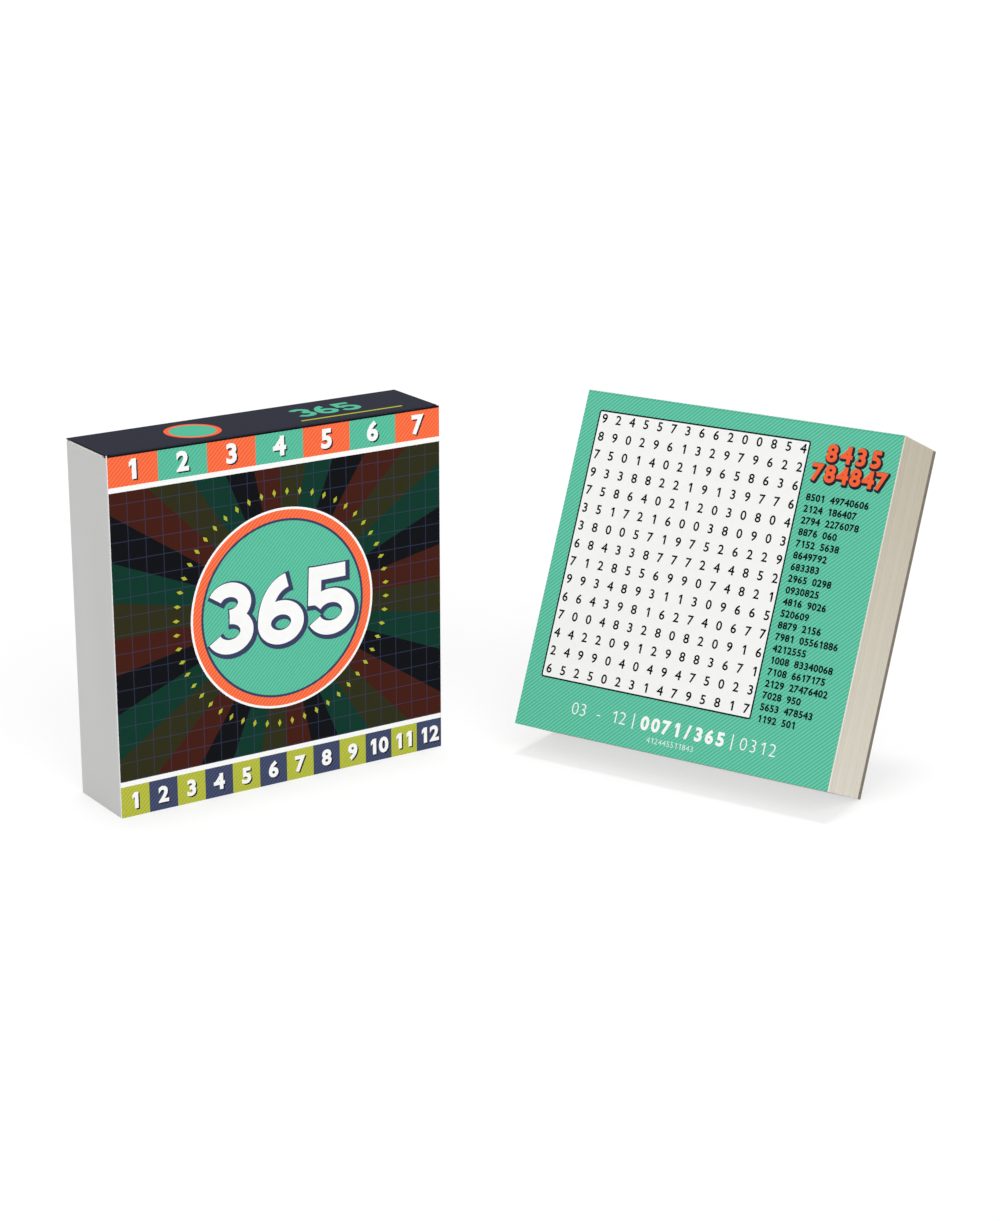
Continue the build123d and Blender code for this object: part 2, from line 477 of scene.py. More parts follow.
@dataclass(frozen=True)
class LeafLayout:
    """Where a leaf's print stands, from the leaf's lower left corner.

    A badge row is its foot, its start and its end; a date span is a start and an end.
    """

    panel_left: float = 6.7
    panel_right: float = 97.1
    panel_bottom: float = 19.6
    panel_top: float = 124.1
    panel_border: float = 0.62
    panel_corner: float = 1.1
    hairline_pitch: float = 1.17
    hairline_share: float = 0.42
    grid_left: float = 9.6
    grid_top: float = 120.9
    grid_step_across: float = 6.07
    grid_step_down: float = 6.97
    grid_count: int = 15
    grid_height: float = 3.4
    list_left: float = 99.8
    list_top: float = 103.6
    list_step: float = 4.36
    list_count: int = 20
    list_height: float = 2.45
    list_lengths: tuple[int, int] = (6, 14)
    list_splits_from: int = 8
    list_first_part: int = 4
    badge_rows: tuple = ((117.8, 104.2, 126.2), (110.2, 99.9, 129.9))
    badge_counts: tuple[int, int] = (4, 6)
    badge_height: float = 5.9
    badge_outline: float = 0.6
    badge_drop: float = 0.45
    date_base: float = 8.0
    date_height: float = 4.7
    date_spans: tuple = ((22.8, 47.0), (53.2, 88.6), (94.8, 110.2))
    bars: tuple[float, float] = (50.0, 91.8)
    bar_width: float = 0.45
    bar_below: float = 0.15
    bar_above: float = 1.1
    small_middle: float = 67.0
    small_base: float = 3.5
    small_height: float = 2.1
    small_count: int = 12


@dataclass(frozen=True)
class LeafGround:
    """A leaf's printed ground: one ink up to the edges, with fine diagonal lines of another."""

    ink: Ink
    line: Ink
    layout: LeafLayout
    fibre_size: float = 0.5
    mottle: float = 0.06
    surface: Surface = Surface(roughness=0.6, spread=0.1, relief=0.012, gloss=0.08)

    def draw(self, shader: Shader, across: Value, up: Value) -> tuple[Value, Value]:
        """Draws the ground.

        Args:
            shader: The shader that the nodes go into.
            across: The place along the leaf's width.
            up: The place up the leaf.

        Returns:
            The ground's colour and the paper's fibre.
        """
        line = shader.hairlines(across, up, self.layout.hairline_pitch, self.layout.hairline_share)
        fibre = shader.noise(self.fibre_size)
        return shader.shade(shader.mix(self.ink, self.line, line), fibre, self.mottle), fibre


@dataclass(frozen=True)
class PrintedLeaf:
    """A leaf with its printed ground round a white bordered panel."""

    ground: LeafGround
    width: float
    height: float
    paper_mottle: float = 0.02

    def material(self) -> bpy.types.Material:
        """Builds the leaf's print on its front and leaves its back plain.

        Returns:
            The material.
        """
        shader = Shader(f"leaf_print_{self.ground.ink.name.lower()}")
        across, up = shader.page(self.width, self.height)
        colour, fibre = self.ground.draw(shader, across, up)
        paper = shader.shade(Ink.PAPER, fibre, self.paper_mottle)
        depth = self._panel_depth(across, up)
        colour = shader.mix(colour, Ink.BLACK, depth > 0.0)
        colour = shader.mix(colour, paper, depth > self.ground.layout.panel_border)
        colour = shader.mix(paper, colour, shader.attribute(Shape.FRONT) > Shape.HALFWAY)
        return shader.finish(colour, self.ground.surface, fibre)

    def _panel_depth(self, across: Value, up: Value) -> Value:
        """How far a point lies inside the panel's round-cornered outline, negative outside.

        Args:
            across: The place along the leaf's width.
            up: The place up the leaf.

        Returns:
            The depth in millimetres.
        """
        layout = self.ground.layout
        middle = (layout.panel_left + layout.panel_right) / 2
        centre = (layout.panel_bottom + layout.panel_top) / 2
        half_width = (layout.panel_right - layout.panel_left) / 2 - layout.panel_corner
        half_height = (layout.panel_top - layout.panel_bottom) / 2 - layout.panel_corner
        beyond = abs(across - middle) - half_width
        above = abs(up - centre) - half_height
        outer = beyond.highest(0.0).length(above.highest(0.0))
        inner = beyond.highest(above).lowest(0.0)
        return layout.panel_corner - outer - inner


@dataclass(frozen=True)
class GluedStrip:
    """The first leaf's top strip, which stays in the glue and shows the leaf's ground."""

    ground: LeafGround
    block: "BlockFrame"

    def material(self) -> bpy.types.Material:
        """Builds the strip's print, in step with the leaf's below it.

        Returns:
            The material.
        """
        shader = Shader("glued_strip")
        across, up = (shader.along(axis, self.block.corner) for axis in (self.block.across, self.block.up))
        colour, fibre = self.ground.draw(shader, across, up)
        return shader.finish(colour, self.ground.surface, fibre)


@dataclass(frozen=True)
class Greyboard:
    """Raw solid board pressed from waste paper, with dark flecks and long pale threads on a mottle.

    A fleck or a thread shows where its noise is over a limit, at its own strength.
    """

    mottle_size: float = 3.0
    mottle_strength: float = 0.45
    fleck_size: float = 0.7
    fleck_stretch: tuple = (1.0, 1.0, 2.5)
    fleck_detail: float = 5.0
    fleck_limit: float = 0.62
    fleck_strength: float = 0.7
    thread_size: float = 0.35
    thread_stretch: tuple = (6.0, 1.0, 1.0)
    thread_detail: float = 2.0
    thread_limit: float = 0.68
    thread_strength: float = 0.5
    surface: Surface = Surface(roughness=0.85, spread=0.1, relief=0.05, gloss=0.1)

    def material(self) -> bpy.types.Material:
        """Builds the board.

        Returns:
            The material.
        """
        shader = Shader("greyboard")
        mottle = shader.noise(self.mottle_size)
        fleck = shader.noise(self.fleck_size, self.fleck_stretch, self.fleck_detail)
        thread = shader.noise(self.thread_size, self.thread_stretch, self.thread_detail)
        flecks = (fleck > self.fleck_limit) * self.fleck_strength
        threads = (thread > self.thread_limit) * self.thread_strength
        colour = shader.mix(Ink.GREYBOARD, Ink.GREYBOARD_PALE, mottle * self.mottle_strength)
        colour = shader.mix(colour, Ink.GREYBOARD_FLECK, flecks)
        colour = shader.mix(colour, Ink.GREYBOARD_PALE, threads)
        return shader.finish(colour, self.surface, mottle, fleck)


@dataclass(frozen=True)
class PaddingGlue:
    """Dried padding compound with the streaks of the brush along the top edge."""

    streak_size: float = 0.6
    streak_stretch: tuple = (5.0, 9.0, 1.0)
    surface: Surface = Surface(roughness=0.35, spread=0.2, relief=0.06, gloss=0.4)

    def material(self) -> bpy.types.Material:
        """Builds the glue.

        Returns:
            The material.
        """
        shader = Shader("padding_glue")
        streak = shader.noise(self.streak_size, self.streak_stretch)
        return shader.finish(shader.mix(Ink.GLUE, Ink.PAPER, streak), self.surface, streak)


@dataclass(frozen=True)
class PlainCard:
    """The carton card's bare inner side, with faint fibres."""

    fibre_size: float = 0.6
    fibre_stretch: tuple = (1.0, 1.0, 2.0)
    mottle: float = 0.06
    surface: Surface = Surface(roughness=0.6, spread=0.15, relief=0.015, gloss=0.05)

    def material(self) -> bpy.types.Material:
        """Builds the card.

        Returns:
            The material.
        """
        shader = Shader("plain_card")
        fibre = shader.noise(self.fibre_size, self.fibre_stretch)
        return shader.finish(shader.shade(Ink.CARD_INSIDE, fibre, self.mottle), self.surface, fibre)


@dataclass(frozen=True)
class CoverLayout:
    """Where the carton's cover print stands, from the front's lower left corner."""

    margin: float = 0.15
    wander: float = 0.15
    wrap: float = 0.6
    # Painted shade: how far down from its top the front is black, for the shadow in the gap under the
    # closure.
    painted_gap_shade: float = 0.7
    band_height: float = 11.7
    rule: float = 1.9
    day_tiles: int = 7
    month_tiles: int = 12
    hairline_pitch: float = 1.2
    hairline_share: float = 0.4
    dial_hairline: float = 0.75
    tile_hairline: float = 0.6
    sun_up: float = 67.5
    disc_radius: float = 33.0
    ring_radius: float = 37.2
    ring_line: float = 0.9
    dial_radius: float = 44.0
    dial_marks: int = 52
    mark_across: float = 1.5
    mark_along: float = 2.9
    rays: int = 32
    square: float = 6.85
    square_line: float = 0.32
    square_strength: float = 0.5
    year_height: float = 27.0
    year_base: float = 54.0
    year_outline: float = 1.2
    year_drop: float = 0.7
    year_shift: float = -1.2
    day_height: float = 6.6
    month_height: float = 5.6
    drop: float = 0.55


@dataclass(frozen=True)
class Canvas:
    """What a print is drawn with: its shader, the point's place on it and the hairlines' mask."""

    shader: Shader
    across: Value
    up: Value
    line: Value


@dataclass(frozen=True)
class CoverPrint:
    """The carton's walls: a printed front with a dial of weeks on dark rays and a black top edge of
    painted shade, and bare card elsewhere.
    """

    left: float
    front: float
    width: float
    height: float
    layout: CoverLayout
    fibre_size: float = 0.6
    print_mottle: float = 0.08
    card_mottle: float = 0.05
    wander_size: float = 1.2
    inside: float = 0.001
    surface: Surface = Surface(roughness=0.5, spread=0.1, relief=0.01, gloss=0.02)

    def material(self) -> bpy.types.Material:
        """Builds the walls' material.

        Returns:
            The material.
        """
        layout = self.layout
        shader = Shader("carton_cover")
        x, y, up = shader.place()
        across = x - self.left
        fibre = shader.noise(self.fibre_size)
        line = shader.hairlines(across, up, layout.hairline_pitch, layout.hairline_share)
        canvas = Canvas(shader, across, up, line)
        colour = self._bands(canvas, self._dial(canvas, self._rays(canvas)))
        # Painted shade: the front's top edge is black, for the shadow in the gap under the closure.
        colour = shader.mix(colour, Ink.BLACK, up > self.height - layout.painted_gap_shade)
        colour = shader.shade(colour, fibre, self.print_mottle)
        edge = shader.noise(self.wander_size) * layout.wander + layout.margin
        printed = (y < self.front + layout.wrap) * (across > edge) * (self.width - across > edge)
        side = shader.attribute(Shape.FRONT)
        card = shader.shade(shader.mix(Ink.CARD_INSIDE, Ink.CARD, side), fibre, self.card_mottle)
        colour = shader.mix(card, colour, printed * (side > self.inside))
        return shader.finish(colour, self.surface, fibre)

    def _rays(self, canvas: Canvas) -> Value:
        """Dark rays in four tints about the dial's middle, under faint squared lines.

        Args:
            canvas: What it is drawn with.

        Returns:
            The ground colour.
        """
        layout = self.layout
        shader, across, up = canvas.shader, canvas.across, canvas.up
        tints = (Ink.UMBER, Ink.BLACK, Ink.BOTTLE, Ink.OLIVE)
        angle = (up - layout.sun_up).angle_over(across - self.width / 2)
        turn = angle * (layout.rays / (len(tints) * math.tau))
        stops = [(i / len(tints), tint.rgba) for i, tint in enumerate(tints)]
        ground = shader.add("ShaderNodeValToRGB", {Nodes.RAMP_STOPS: stops}, {"Fac": turn.fract()})
        share = layout.square_line / layout.square
        squares = ((across / layout.square).fract() < share) | ((up / layout.square).fract() < share)
        return shader.mix(ground, Ink.NAVY, squares * layout.square_strength)

    def _dial(self, canvas: Canvas, ground: Value) -> Value:
        """A mint disc in an orange ring, with one lime mark round it for each week.

        Args:
            canvas: What it is drawn with.
            ground: The colour behind the dial.

        Returns:
            The colour with the dial on it.
        """
        layout = self.layout
        shader, line = canvas.shader, canvas.line
        out = canvas.across - self.width / 2
        rise = canvas.up - layout.sun_up
        radius = out.length(rise)
        turn = rise.angle_over(out) * (layout.dial_marks / math.tau)
        arc = abs(turn.fract() - 0.5) * (math.tau * layout.dial_radius / layout.dial_marks)
        step = abs(radius - layout.dial_radius)
        mark = (arc / (layout.mark_across / 2) + step / (layout.mark_along / 2)) < 1.0
        disc = shader.mix(Ink.MINT, Ink.MINT_LINE, line * layout.dial_hairline)
        ring = shader.mix(Ink.ORANGE, Ink.ORANGE_LINE, line * layout.dial_hairline)
        colour = shader.mix(ground, Ink.LIME, mark)
        colour = shader.mix(colour, Ink.WHITE, radius < layout.ring_radius + layout.ring_line)
        colour = shader.mix(colour, ring, radius < layout.ring_radius)
        colour = shader.mix(colour, Ink.NAVY, radius < layout.disc_radius + layout.ring_line)
        return shader.mix(colour, disc, radius < layout.disc_radius)

    def _bands(self, canvas: Canvas, ground: Value) -> Value:
        """A row of day tiles along the top and a row of month tiles along the bottom.

        Args:
            canvas: What it is drawn with.
            ground: The colour between the two rows.

        Returns:
            The colour with both rows and their white rules.
        """
        layout = self.layout
        shader, up, line = canvas.shader, canvas.up, canvas.line
        colour = ground
        rows = (
            (self.height - up, layout.day_tiles, Ink.ORANGE, Ink.ORANGE_LINE, Ink.MINT, Ink.MINT_LINE),
            (up, layout.month_tiles, Ink.LIME, Ink.LIME_LINE, Ink.NAVY, Ink.NAVY_LINE),
        )
        for depth, tiles, even, even_line, odd, odd_line in rows:
            parity = (canvas.across / (self.width / tiles)).floor() % 2.0
            one = shader.mix(even, even_line, line * layout.tile_hairline)
            other = shader.mix(odd, odd_line, line * layout.tile_hairline)
            colour = shader.mix(colour, Ink.WHITE, depth < layout.band_height + layout.rule)
            colour = shader.mix(colour, shader.mix(one, other, parity), depth < layout.band_height)
        return colour


@dataclass(frozen=True)
class LidLayout:
    """Where the closure's print stands, from the panel's front left corner."""

    disc_across: float = 42.0
    disc_radius: float = 8.6
    ring_radius: float = 10.4
    year_middle: float = 98.0
    year_height: float = 12.0
    year_behind: float = 2.0
    bar_left: float = 82.0
    bar_right: float = 125.0
    bar_depth: float = 6.6
    bar_width: float = 1.3


@dataclass(frozen=True)
class LidPrint:
    """The closure: dark print outside with a small dial and a bar, black rims of painted shade, bare card
    inside.
    """

    left: float
    front: float
    depth: float
    layout: LidLayout
    fibre_size: float = 0.6
    print_mottle: float = 0.1
    card_mottle: float = 0.06
    skin: float = 0.03
    surface: Surface = Surface(roughness=0.5, spread=0.1, relief=0.01, gloss=0.012)

    def material(self) -> bpy.types.Material:
        """Builds the closure's material.

        Returns:
            The material.
        """
        layout = self.layout
        shader = Shader("carton_lid")
        x, y, _ = shader.place()
        across = x - self.left
        back = y - self.front
        fibre = shader.noise(self.fibre_size)
        radius = (across - layout.disc_across).length(back - self.depth / 2)
        bar = (across > layout.bar_left) * (across < layout.bar_right)
        bar = bar * (abs(back - layout.bar_depth) < layout.bar_width / 2)
        colour = shader.mix(Ink.CHARCOAL, Ink.LIME, bar)
        colour = shader.mix(colour, Ink.ORANGE, radius < layout.ring_radius)
        colour = shader.mix(colour, Ink.MINT, radius < layout.disc_radius)
        colour = shader.shade(colour, fibre, self.print_mottle)
        card = shader.shade(Ink.CARD_INSIDE, fibre, self.card_mottle)
        side = shader.attribute(Shape.FRONT)
        # Painted shade: the closure's cut rims are black, for the dark shadow line round its edges.
        colour = shader.mix(colour, Ink.BLACK, side < 1.0 - self.skin)
        colour = shader.mix(card, colour, side > self.skin)
        return shader.finish(colour, self.surface, fibre)


@dataclass
class Shape:
    """Points in millimetres with their faces, and what each point carries for its finish."""

    PAGE_MAP = "page"
    FRONT = "front_side"
    HALFWAY = 0.5
    SHARP_FROM = math.radians(35.0)

    points: np.ndarray
    faces: np.ndarray
    carried: dict[str, np.ndarray] = field(default_factory=dict)
    page: Optional[np.ndarray] = None

    @staticmethod
    def joined(shapes: Sequence["Shape"]) -> "Shape":
        """Several bare shapes as one.

        Args:
            shapes: The shapes, all of the same kind of face.

        Returns:
            The one shape.
        """
        starts = np.cumsum([0] + [len(shape.points) for shape in shapes[:-1]])
        faces = np.concatenate([shape.faces + start for shape, start in zip(shapes, starts)])
        return Shape(np.concatenate([shape.points for shape in shapes]), faces)

    def moved(self, place: Callable[[np.ndarray, np.ndarray, np.ndarray], np.ndarray]) -> "Shape":
        """The shape with its points put through a placing function of three columns."""
        return Shape(place(*self.points.T), self.faces, self.carried, self.page)

    def piece(self, name: str, material: bpy.types.Material) -> bpy.types.Object:
        """Makes the shape a named mesh object in metres, at the origin.

        Args:
            name: The piece's name.
            material: Its finish.

        Returns:
            The new object.
        """
        mesh = bpy.data.meshes.new(name)
        mesh.from_pydata((self.points * MM).tolist(), [], self.faces.tolist())
        for key, values in self.carried.items():
            mesh.attributes.new(key, "FLOAT", "POINT").data.foreach_set("value", values.astype(np.float32))
        if self.page is not None:
            corners = np.empty(len(mesh.loops), np.int32)
            mesh.loops.foreach_get("vertex_index", corners)
            layer = mesh.uv_layers.new(name=self.PAGE_MAP)
            layer.data.foreach_set("uv", self.page[corners].astype(np.float32).ravel())
        mesh.polygons.foreach_set("use_smooth", np.ones(len(mesh.polygons), bool))
        mesh.set_sharp_from_angle(angle=self.SHARP_FROM)
        mesh.materials.append(material)
        piece = bpy.data.objects.new(name, mesh)
        bpy.context.scene.collection.objects.link(piece)
        LOG.info("%s: %d faces", name, len(self.faces))
        return piece


def strip(*corners: np.ndarray) -> np.ndarray:
    """Quads from four arrays of corner numbers."""
    return np.stack([corner.ravel() for corner in corners], axis=1)


def half_wave(share: np.ndarray) -> np.ndarray:
    """A swell from zero up to one and back, level at both ends: the square of a half sine."""
    return np.sin(np.pi * share) ** 2


def smooth_step(share: np.ndarray) -> np.ndarray:
    """A rise from zero to one, level at both ends."""
    return share * share * (3.0 - 2.0 * share)


def thick_sheet(middle: np.ndarray, thickness: float, ring: bool = False) -> Shape:
    """A sheet of even thickness: a grid pushed half the thickness both ways along its normals.

    Args:
        middle: Grid of middle points, (rows, columns, 3); the front faces rows x columns.
        thickness: The sheet's thickness.
        ring: Whether the last row meets the first, as in a sleeve.

    Returns:
        The closed sheet, with its front side marked.
    """
    rows, columns = middle.shape[:2]
    if ring:
        along = np.roll(middle, -1, axis=0) - np.roll(middle, 1, axis=0)
    else:
        along = np.gradient(middle, axis=0)
    normal = np.cross(along, np.gradient(middle, axis=1))
    normal /= np.linalg.norm(normal, axis=2, keepdims=True)
    half = normal * thickness / 2
    points = np.concatenate([(middle + half).reshape(-1, 3), (middle - half).reshape(-1, 3)])
    index = np.arange(rows * columns).reshape(rows, columns)
    if ring:
        index = np.vstack([index, index[:1]])
    under = index + rows * columns
    faces = [
        strip(index[:-1, :-1], index[1:, :-1], index[1:, 1:], index[:-1, 1:]),
        strip(under[:-1, :-1], under[:-1, 1:], under[1:, 1:], under[1:, :-1]),
        strip(index[1:, 0], index[:-1, 0], under[:-1, 0], under[1:, 0]),
        strip(index[:-1, -1], index[1:, -1], under[1:, -1], under[:-1, -1]),
    ]
    if not ring:
        faces.append(strip(index[0, :-1], index[0, 1:], under[0, 1:], under[0, :-1]))
        faces.append(strip(index[-1, 1:], index[-1, :-1], under[-1, :-1], under[-1, 1:]))
    side = np.repeat([1.0, 0.0], rows * columns)
    return Shape(points, np.concatenate(faces), {Shape.FRONT: side})


def prism(outline: Sequence[tuple[float, float]], top: float = HALF_UNIT) -> Shape:
    """A convex outline carried along the third axis from half a unit below, as triangles.

    Args:
        outline: The outline's corners, anticlockwise.
        top: Where it ends.

    Returns:
        The closed prism.
    """
    flat = np.array(outline, float)
    count = len(flat)
    low = np.column_stack([flat, np.full(count, -HALF_UNIT)])
    high = np.column_stack([flat, np.full(count, top)])
    here = np.arange(count)
    after = (here + 1) % count
    fan = np.column_stack([np.zeros(count - 2, int), here[1:-1], here[2:]])
    sides = np.concatenate([
        np.column_stack([here, after, after + count]),
        np.column_stack([here, after + count, here + count]),
    ])
    faces = np.concatenate([fan[:, ::-1], fan + count, sides])
    return Shape(np.concatenate([low, high]), faces)


def bar(left: float, right: float, low: float, high: float, top: float = HALF_UNIT) -> Shape:
    """A straight rectangle as a prism."""
    return prism([(left, low), (right, low), (right, high), (left, high)], top)


class Align(Enum):
    """Which point of a line of numerals stands at its given place."""

    START = 0.0
    MIDDLE = 0.5


class NumeralFace:
    """Plain numerals of one weight, as meshes of unit height with a unit of thickness.

    The one and the four are drawn here, in the built-in face's units. Each pair is a stroke's two
    sides, which grow apart with the weight, and strokes that cross end at different heights.
    """

    PITCH = 0.80
    DIGIT_WIDTH = 0.5
    SOURCE_HEIGHT = 0.682
    ONE_STEM = (0.24, 0.34)
    ONE_TIP = 0.09
    ONE_TIP_SPAN = (0.46, 0.56)
    ONE_ROOT = 0.55
    FOUR_STEM = (0.3, 0.4)
    FOUR_BAR = (0.22, 0.31)
    FOUR_BAR_ENDS = (0.0, 0.48)
    FOUR_BAR_TOP = 0.47
    FOUR_SLOPE = (0.0, 0.12)
    FOUR_SLOPE_FOOT = 0.26
    FOUR_SLOPE_HEAD = 0.34
    FOUR_SLOPE_GROWTH = 0.3
    FOUR_SLOPE_TOP = 0.44

    def __init__(self, weight: float, fineness: int = 3) -> None:
        """Starts a face with no glyphs made yet.

        Args:
            weight: How far the plain outline is grown.
            fineness: The steps that a curve is divided into.
        """
        self.weight = weight
        self.fineness = fineness
        self._drawn: dict[str, Callable[[], Shape]] = {"1": self._one, "4": self._four}
        self._glyphs: dict[str, Shape] = {}

    def glyph(self, character: str) -> Shape:
        """The mesh of one character about its own middle, made once.

        Args:
            character: The character.

        Returns:
            Its mesh.
        """
        if character not in self._glyphs:
            source = self._drawn[character]() if character in self._drawn else self._traced(character)
            points = source.points.copy()
            points[:, 0] -= (points[:, 0].min() + points[:, 0].max()) / 2
            points[:, :2] /= self.SOURCE_HEIGHT
            self._glyphs[character] = Shape(points, source.faces)
        return self._glyphs[character]

    def _traced(self, character: str) -> Shape:
        """A character of the built-in face, made a mesh of triangles.

        Args:
            character: The character.

        Returns:
            Its mesh.
        """
        curve = bpy.data.curves.new("numeral", "FONT")
        curve.body = character
        curve.offset = self.weight
        curve.extrude = HALF_UNIT
        curve.resolution_u = self.fineness
        holder = bpy.data.objects.new("numeral", curve)
        bpy.context.scene.collection.objects.link(holder)
        solid = holder.evaluated_get(bpy.context.evaluated_depsgraph_get())
        mesh = bpy.data.meshes.new_from_object(solid)
        mesh.calc_loop_triangles()
        points = np.empty(len(mesh.vertices) * 3)
        mesh.vertices.foreach_get("co", points)
        faces = np.empty(len(mesh.loop_triangles) * 3, np.int32)
        mesh.loop_triangles.foreach_get("vertices", faces)
        bpy.data.objects.remove(holder)
        bpy.data.curves.remove(curve)
        bpy.data.meshes.remove(mesh)
        return Shape(points.reshape(-1, 3), faces.reshape(-1, 3))

    def _grown(self, sides: tuple[float, float]) -> tuple[float, float]:
        """A stroke's two sides, moved apart by the weight."""
        return sides[0] - self.weight, sides[1] + self.weight

    def _one(self) -> Shape:
        """A one with a slanted flag, because the built-in one is a bare stem.

        Returns:
            The one.
        """
        low, high = self._grown((0.0, self.SOURCE_HEIGHT))
        left, right = self._grown(self.ONE_STEM)
        tip_low, tip_high = self._grown(self.ONE_TIP_SPAN)
        root = (left, self.ONE_ROOT - self.weight)
        flag = prism([(self.ONE_TIP, tip_low), root, (left, high), (self.ONE_TIP, tip_high)])
        return Shape.joined([bar(left, right, low, high), flag])

    def _four(self) -> Shape:
        """A four of three strokes, because the built-in one's gap closes up when it is grown.

        Returns:
            The four.
        """
        low, high = self._grown((0.0, self.SOURCE_HEIGHT))
        left, right = self._grown(self.FOUR_STEM)
        foot_left, foot_right = self._grown(self.FOUR_SLOPE)
        head = self.FOUR_SLOPE_HEAD - self.weight * self.FOUR_SLOPE_GROWTH
        foot = self.FOUR_SLOPE_FOOT
        slope = [(foot_left, foot), (foot_right, foot), (right, high), (head, high)]
        return Shape.joined([
            bar(left, right, low, high),
            bar(*self._grown(self.FOUR_BAR_ENDS), *self._grown(self.FOUR_BAR), self.FOUR_BAR_TOP),
            prism(slope, self.FOUR_SLOPE_TOP),
        ])

    def spread(self, text: str, height: float, start: float, end: float, base: float) -> Shape:
        """A line of characters that fills the width from its start to its end, as one shape."""
        width = self.DIGIT_WIDTH / self.SOURCE_HEIGHT * height
        return self._set(text, height, start + width / 2, (end - start - width) / (len(text) - 1), base)

    def line(
        self, text: str, height: float, across: float, base: float, align: Align = Align.START
    ) -> Shape:
        """A line of characters, each a pitch after the last.

        Args:
            text: The characters; a space leaves a gap.
            height: The numerals' height.
            across: The place of the aligned point.
            base: The height of the line's foot.
            align: Which point of the line stands at that place.

        Returns:
            The line as one shape, still a unit thick.
        """
        pitch = self.PITCH * height
        start = across - align.value * pitch * (len(text) - 1)
        if align is Align.START:
            start += self.DIGIT_WIDTH / self.SOURCE_HEIGHT * height / 2
        return self._set(text, height, start, pitch, base)

    def _set(self, text: str, height: float, first: float, pitch: float, base: float) -> Shape:
        """Characters a pitch apart.

        Args:
            text: The characters; a space leaves a gap.
            height: The numerals' height.
            first: The first character's middle.
            pitch: The step from one middle to the next.
            base: The height of the line's foot.

        Returns:
            The characters as one shape.
        """
        shapes = []
        for place, character in enumerate(text):
            if character != " ":
                glyph = self.glyph(character)
                offset = np.array([first + place * pitch, base, 0.0])
                shapes.append(Shape(glyph.points * [height, height, 1.0] + offset, glyph.faces))
        return Shape.joined(shapes)


def halo(shape: Shape, reach: float, copies: int = 8, drop: float = 0.09) -> Shape:
    """A shape grown all round: copies of it moved about a circle, each a hair lower than the last.

    Args:
        shape: The shape.
        reach: How far it grows.
        copies: How many copies make the circle.
        drop: How much lower each copy is, so that no two faces share a plane.

    Returns:
        The copies as one shape.
    """
    turn = np.linspace(0.0, math.tau, copies, endpoint=False)
    shift = np.column_stack([reach * np.cos(turn), reach * np.sin(turn), -drop * np.arange(copies)])
    points = shape.points + shift[:, None, :]
    faces = shape.faces + len(shape.points) * np.arange(copies)[:, None, None]
    return Shape(points.reshape(-1, 3), faces.reshape(-1, 3))


